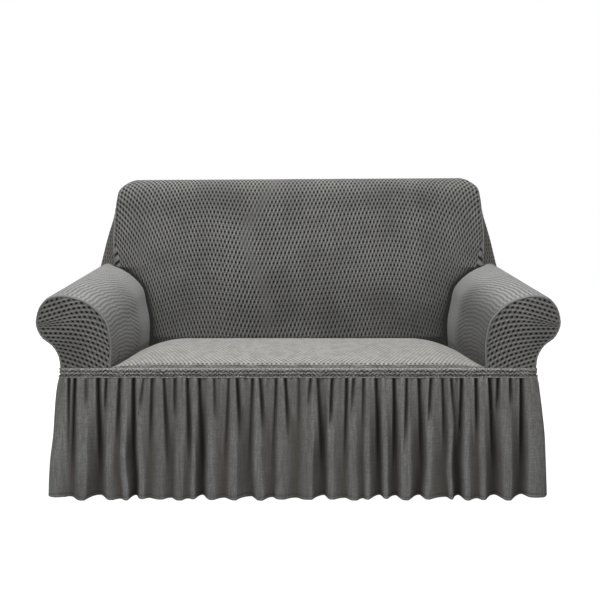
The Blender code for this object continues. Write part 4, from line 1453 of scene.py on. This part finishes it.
def fold_looks(s, out, length):
    """How much painted shade and painted highlight each point of one level gets, from 0 to 1.

    A point gets painted shade where cloth beside it stands further out and would hide
    the light, most of all on its left, and a painted highlight where it stands out
    from its surroundings.
    """
    def beside(step):
        return np.interp(np.mod(s + step - s[0], length), s - s[0], out, period=length)

    left = np.zeros(len(s))
    right = np.zeros(len(s))
    for step in (0.003, 0.005, 0.008, 0.012, 0.018, 0.026):
        left = np.maximum(left, (beside(-step) - out) / step)
        right = np.maximum(right, (beside(step) - out) / step)
    hidden = 1.0 - 0.62 / np.sqrt(1.0 + left ** 2) - 0.38 / np.sqrt(1.0 + right ** 2)
    around = [beside(0.005 * k) for k in (-4, -3, -2, -1, 1, 2, 3, 4)]
    high = np.maximum.reduce(around + [out])
    low = np.minimum.reduce(around + [out])
    crown_highlight = clamp((out - low) / (high - low + 0.0060)) ** 1.05
    return clamp(2.3 * (hidden - 0.05), 0.0, 0.95), crown_highlight


def build_skirt(material):
    table, length = ring_table(BAND_HALF_X, BAND_HALF_Y, BAND_CORNER)
    knots = skirt_knots(length)
    low_folds = fold_line(knots, length)
    tucks = all_tucks(length)

    def reach(s, v):
        """How far the cloth stands out, and the main folds' own share of it."""
        sway = 0.0050 * wobble(19.0 * s + 5.0 * v, 4.0) * v + 0.0030 * wobble(70.0 * s, 9.0) * v
        low = low_folds(s + sway)
        grown = mix(FOLD_AT_TOP, 1.0, ease(v / 0.7))
        fine = 0.0017 * np.sin(TURN * s / 0.0185 + 2.6 * wobble(33.0 * s, 8.0))
        out = SKIRT_FLARE * v ** FLARE_RISE + low * grown - tuck_depths(tucks, s, v, length)
        return out + fine * (1.0 - ease(v / 0.30)) * ease(v / 0.02), low

    def place(s, v):
        x, y, nx, ny = unit_ring_at(table, length, s)
        out, low = reach(s, v)
        corner = clamp(1.6 * np.minimum(np.abs(nx), np.abs(ny)))
        out = out + CORNER_OUT * corner * v
        sunk = clamp((HIGHEST_RIDGE - low) / (HIGHEST_RIDGE + DEEPEST_VALLEY))
        lift = HEM_LIFT * sunk ** 0.7 + END_LIFT * ease((np.abs(x) - 0.62) / 0.04)
        z = mix(SKIRT_TOP_Z, 0.0, v) + lift * v
        return np.stack((x + nx * out, y + ny * out, z), axis=-1)

    front = BAND_HALF_X - BAND_CORNER
    front_count = round(2.0 * front / FRONT_STEP)
    other_count = round((length - 2.0 * front) / SKIRT_STEP)
    s = np.concatenate((
        np.linspace(-front, front, front_count, endpoint=False),
        np.linspace(front, length - front, other_count, endpoint=False),
    ))
    count = len(s)
    hem_v = 1.0 - HEM / SKIRT_TOP_Z
    levels = np.concatenate(([0.0, 0.006, 0.014, 0.024, 0.036, 0.05, 0.067, 0.087, 0.11],
                             np.linspace(0.14, hem_v - 0.02, 17),
                             [hem_v - 0.005, hem_v, hem_v + 0.005, 0.992, 1.0]))
    inner_picks = [0, 4, 8, 11, 14, 17, 20, 23, 26, len(levels) - 1]
    stitch_dent = 0.0010

    def layer_at(v):
        here = place(s, v)
        along = place(s + 0.0008, v) - place(s - 0.0008, v)
        out = np.stack((along[:, 1], -along[:, 0], np.zeros(count)), axis=-1)
        return here, out / np.linalg.norm(out, axis=1, keepdims=True)

    outer, inner, shades, crown_highlights = [], [], [], []
    for j, v in enumerate(levels):
        here, out = layer_at(v)
        hem_edge = 0.0005 * (j == len(levels) - 1)
        outer.append(here - out * (stitch_dent * (v == hem_v) + hem_edge))
        shade, crown_highlight = fold_looks(s, reach(s, v)[0], length)
        # Painted shade in the hem's stitch line and just under the band.
        shades.append(clamp(shade + 0.35 * (v == hem_v) + 0.30 * ease(1.0 - v / 0.02)))
        crown_highlights.append(crown_highlight)
        if j in inner_picks:
            inner.append(here - out * (SKIRT_CLOTH - hem_edge))
    points = np.concatenate(outer + inner)
    # The inner faces get an even painted shade and no highlight.
    unlit = np.zeros(len(inner_picks) * count)
    looks = {"shade": np.concatenate(shades + [unlit + 0.4]),
             "crown_highlight": np.concatenate(crown_highlights + [unlit])}
    tall, short = len(levels), len(inner_picks)
    faces = ring_faces(count, tall, short)
    heights = np.concatenate((levels, levels[inner_picks])) * SKIRT_TOP_Z
    uvs = np.stack((np.tile(s, tall + short), np.repeat(heights, count)), axis=1)
    thing = make_object("skirt_cloth", points, faces, uvs, looks, material)
    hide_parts("skirt")


def build_band(material):
    """The shirred band, whose rows run upwards."""
    table, length = ring_table(BAND_HALF_X, BAND_HALF_Y, BAND_CORNER)
    count = round(length / BAND_STEP)
    s = np.arange(count) * length / count
    tall = 22
    rows = np.linspace(0.0, 1.0, tall)

    def grooves(s, z):
        """Two wavy grooves between the rows of elastic, 1 at their bottoms."""
        high = GROOVE_HIGH_Z + 0.0022 * zigzag(s, 0.0, 0.0150, 3.0)
        high = high + 0.0012 * wobble(s * 60.0, 3.0)
        low = GROOVE_LOW_Z + 0.0011 * zigzag(s, 0.0, 0.0125, 5.0)
        return np.maximum(bell(z - low, 0.0018), bell(z - high, 0.0017))

    def place(s, share):
        x, y, nx, ny = unit_ring_at(table, length, s)
        z = mix(BAND_BOTTOM_Z, BAND_TOP_Z, share)
        crinkle = zigzag(s, z - GROOVE_HIGH_Z, BAND_CRINKLE, 6.0)
        out = 0.0036 * (1.0 - grooves(s, z)) + 0.0010 * crinkle
        out = out * ease(share / 0.06) * ease((1.0 - share) / 0.06)
        return np.stack((x + nx * out, y + ny * out, z), axis=-1)

    outer = np.stack([place(s, np.full(count, share)) for share in rows])
    x, y, nx, ny = ring_at(table, length, s)
    flat_inner = np.stack((x - nx * BAND_THICK, y - ny * BAND_THICK), axis=-1)
    inner = np.stack([np.column_stack((flat_inner, np.full(count, z)))
                      for z in (BAND_BOTTOM_Z, BAND_TOP_Z)])
    points = np.concatenate((outer.reshape(-1, 3), inner.reshape(-1, 3)))
    faces = turned(ring_faces(count, tall, 2))
    uvs = np.concatenate((
        np.stack((np.tile(s, tall), np.repeat(rows, count)), axis=1),
        np.stack((np.tile(s, 2), np.repeat((0.0, 1.0), count)), axis=1),
    ))
    # Painted shade in the two grooves and on one side of each crinkle.
    z = mix(BAND_BOTTOM_Z, BAND_TOP_Z, np.repeat(rows, count))
    across = np.tile(s, tall)
    stroke = zigzag(across, z - GROOVE_HIGH_Z, BAND_CRINKLE, 6.0)
    broken = clamp(0.85 + 0.45 * wobble(75.0 * across, 3.0)) * (1.0 - 0.55 * clamp(stroke) ** 2)
    shade = clamp(1.05 * broken * grooves(across, z) + 0.55 * clamp(-stroke) ** 2)
    shares = {"shade": np.concatenate((shade, np.zeros(2 * count)))}
    thing = make_object("elastic_band_cloth", points, faces, uvs, shares, material)
    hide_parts("elastic_band")


def build_piping(material):
    """The thin rolled seam between the band and the skirt."""
    table, length = ring_table(BAND_HALF_X, BAND_HALF_Y, BAND_CORNER)
    count = round(length / PIPING_STEP)
    s = np.arange(count) * length / count
    x, y, nx, ny = ring_at(table, length, s)
    bead = np.sin(TURN * s / 0.0105 + 2.0 * wobble(30.0 * s, 2.0))
    out = PIPING_OUT + 0.0010 * bead
    height = SKIRT_TOP_Z - 0.0022 + 0.0006 * wobble(45.0 * s, 7.0)
    path = np.stack((x + nx * out, y + ny * out, height), axis=-1)
    away = np.stack((nx, ny, np.zeros(count)), axis=-1)
    points, faces = tube_mesh(path, away, np.array((0.0, 0.0, 1.0)), PIPING, closed=True)
    uvs = np.stack((np.tile(s, TUBE_SIDES),
                    np.repeat(np.arange(TUBE_SIDES) / TUBE_SIDES, count)), axis=1)
    # Painted shade between the beads.
    looks = {"shade": np.tile(0.38 * clamp(-bead), TUBE_SIDES)}
    make_object("piped_seam", points, turned(faces), uvs, looks, material)


# --- Stage -------------------------------------------------------------------
def floor_material():
    """A grey floor that glows white to the camera alone."""
    sh = Shader("floor")
    seen = sh.node("ShaderNodeLightPath").outputs["Is Camera Ray"]
    sh.principled.inputs["Base Color"].default_value = rgb(0.32, 0.32, 0.32)
    sh.principled.inputs["Roughness"].default_value = 1.0
    sh.principled.inputs["Specular IOR Level"].default_value = 0.0
    sh.principled.inputs["Emission Color"].default_value = rgb(1.0, 1.0, 1.0)
    sh.plug(sh.principled.inputs["Emission Strength"], seen)
    return sh.material


def build_stage():
    half = 12.0
    mesh = bpy.data.meshes.new("floor")
    corners = [(-half, -half, 0.0), (half, -half, 0.0), (half, half, 0.0), (-half, half, 0.0)]
    mesh.from_pydata(corners, [], [(0, 1, 2, 3)])
    mesh.materials.append(floor_material())
    floor = bpy.data.objects.new("floor", mesh)
    floor.location.z = -0.0005
    bpy.context.scene.collection.objects.link(floor)


def add_area(name, place, target, size, power, colour=(1.0, 1.0, 1.0)):
    light = bpy.data.lights.new(name, "AREA")
    light.shape = "RECTANGLE"
    light.size, light.size_y = size
    light.energy = power
    light.color = colour
    lamp = bpy.data.objects.new(name, light)
    lamp.location = place
    aim = bpy.data.objects.new(name + "_aim", None)
    aim.location = target
    for thing in (lamp, aim):
        bpy.context.scene.collection.objects.link(thing)
    track = lamp.constraints.new("TRACK_TO")
    track.target = aim
    track.track_axis = "TRACK_NEGATIVE_Z"
    track.up_axis = "UP_Y"


def build_light():
    world = bpy.data.worlds.new("studio")
    bpy.context.scene.world = world
    world.use_nodes = True
    tree = world.node_tree
    background = tree.nodes["Background"]
    path = tree.nodes.new("ShaderNodeLightPath")
    strength = tree.nodes.new("ShaderNodeMapRange")
    strength.inputs["To Min"].default_value = 0.15
    strength.inputs["To Max"].default_value = 1.0
    tree.links.new(path.outputs["Is Camera Ray"], strength.inputs["Value"])
    tree.links.new(strength.outputs["Result"], background.inputs["Strength"])
    background.inputs["Color"].default_value = (1.0, 1.0, 1.0, 1.0)
    add_area("overhead", (-0.1, -0.45, 3.3), (0.0, -0.1, 0.5), (1.6, 1.4), 74.0)
    add_area("front", (-0.6, -5.0, 1.5), (0.0, 0.0, 0.3), (1.2, 1.2), 44.0)
    add_area("rear", (0.0, 4.6, 2.1), (0.0, 0.4, 0.5), (3.4, 1.4), 84.0)


def build_camera():
    camera = bpy.data.cameras.new("camera")
    camera.lens = CAMERA_LENS
    camera.sensor_width = CAMERA_SENSOR
    thing = bpy.data.objects.new("camera", camera)
    thing.location = (CAMERA_X, FRONT_Y - CAMERA_AWAY, CAMERA_Z)
    thing.rotation_euler = (math.radians(90.0 - CAMERA_DOWN), 0.0, 0.0)
    bpy.context.scene.collection.objects.link(thing)
    bpy.context.scene.camera = thing


def build_cover():
    # One knit in lighter and darker copies: the seat's and arms' knit is paler, with paler
    # dimples, and the arm fronts' is lighter than the back's, as painted light for how the lamps
    # fall on them; the side panels' knit is browner.
    back = knit_material("bubble_knit", rgb(0.465, 0.463, 0.444), rgb(0.136, 0.136, 0.130),
                         rgb(0.007, 0.007, 0.006), course=0.32)
    front = knit_material("bubble_knit_front", rgb(0.610, 0.598, 0.572),
                          rgb(0.200, 0.199, 0.191), rgb(0.008, 0.008, 0.007), course=0.42,
                          broad=0.40, short=5.5, cords=0.65)
    arm = knit_material("bubble_knit_arm", rgb(0.520, 0.520, 0.507),
                        rgb(0.430, 0.430, 0.420), rgb(0.095, 0.095, 0.092), course=0.42,
                        slack=rgb(0.330, 0.345, 0.348))
    seat = knit_material("seat_knit", rgb(0.700, 0.682, 0.646), rgb(0.450, 0.439, 0.417),
                         rgb(0.100, 0.097, 0.091), patchy=0.60, cloud=44.0)
    gusset = knit_material("bubble_knit_side", rgb(0.455, 0.428, 0.388),
                           rgb(0.200, 0.187, 0.168), rgb(0.026, 0.022, 0.018))
    band = band_material()
    build_back(back)
    build_rear(back)
    build_seat(seat)
    for side, mirrored in (("left", True), ("right", False)):
        build_arm(side, mirrored, arm)
        build_arm_front(side, mirrored, front, arm)
        build_back_side(side, mirrored, gusset)
        build_back_seam(side, mirrored, arm)
    build_skirt(skirt_material())
    build_band(band)
    build_piping(band)


bpy.context.scene.view_settings.view_transform = "Standard"
build_camera()
build_cover()
build_stage()
build_light()
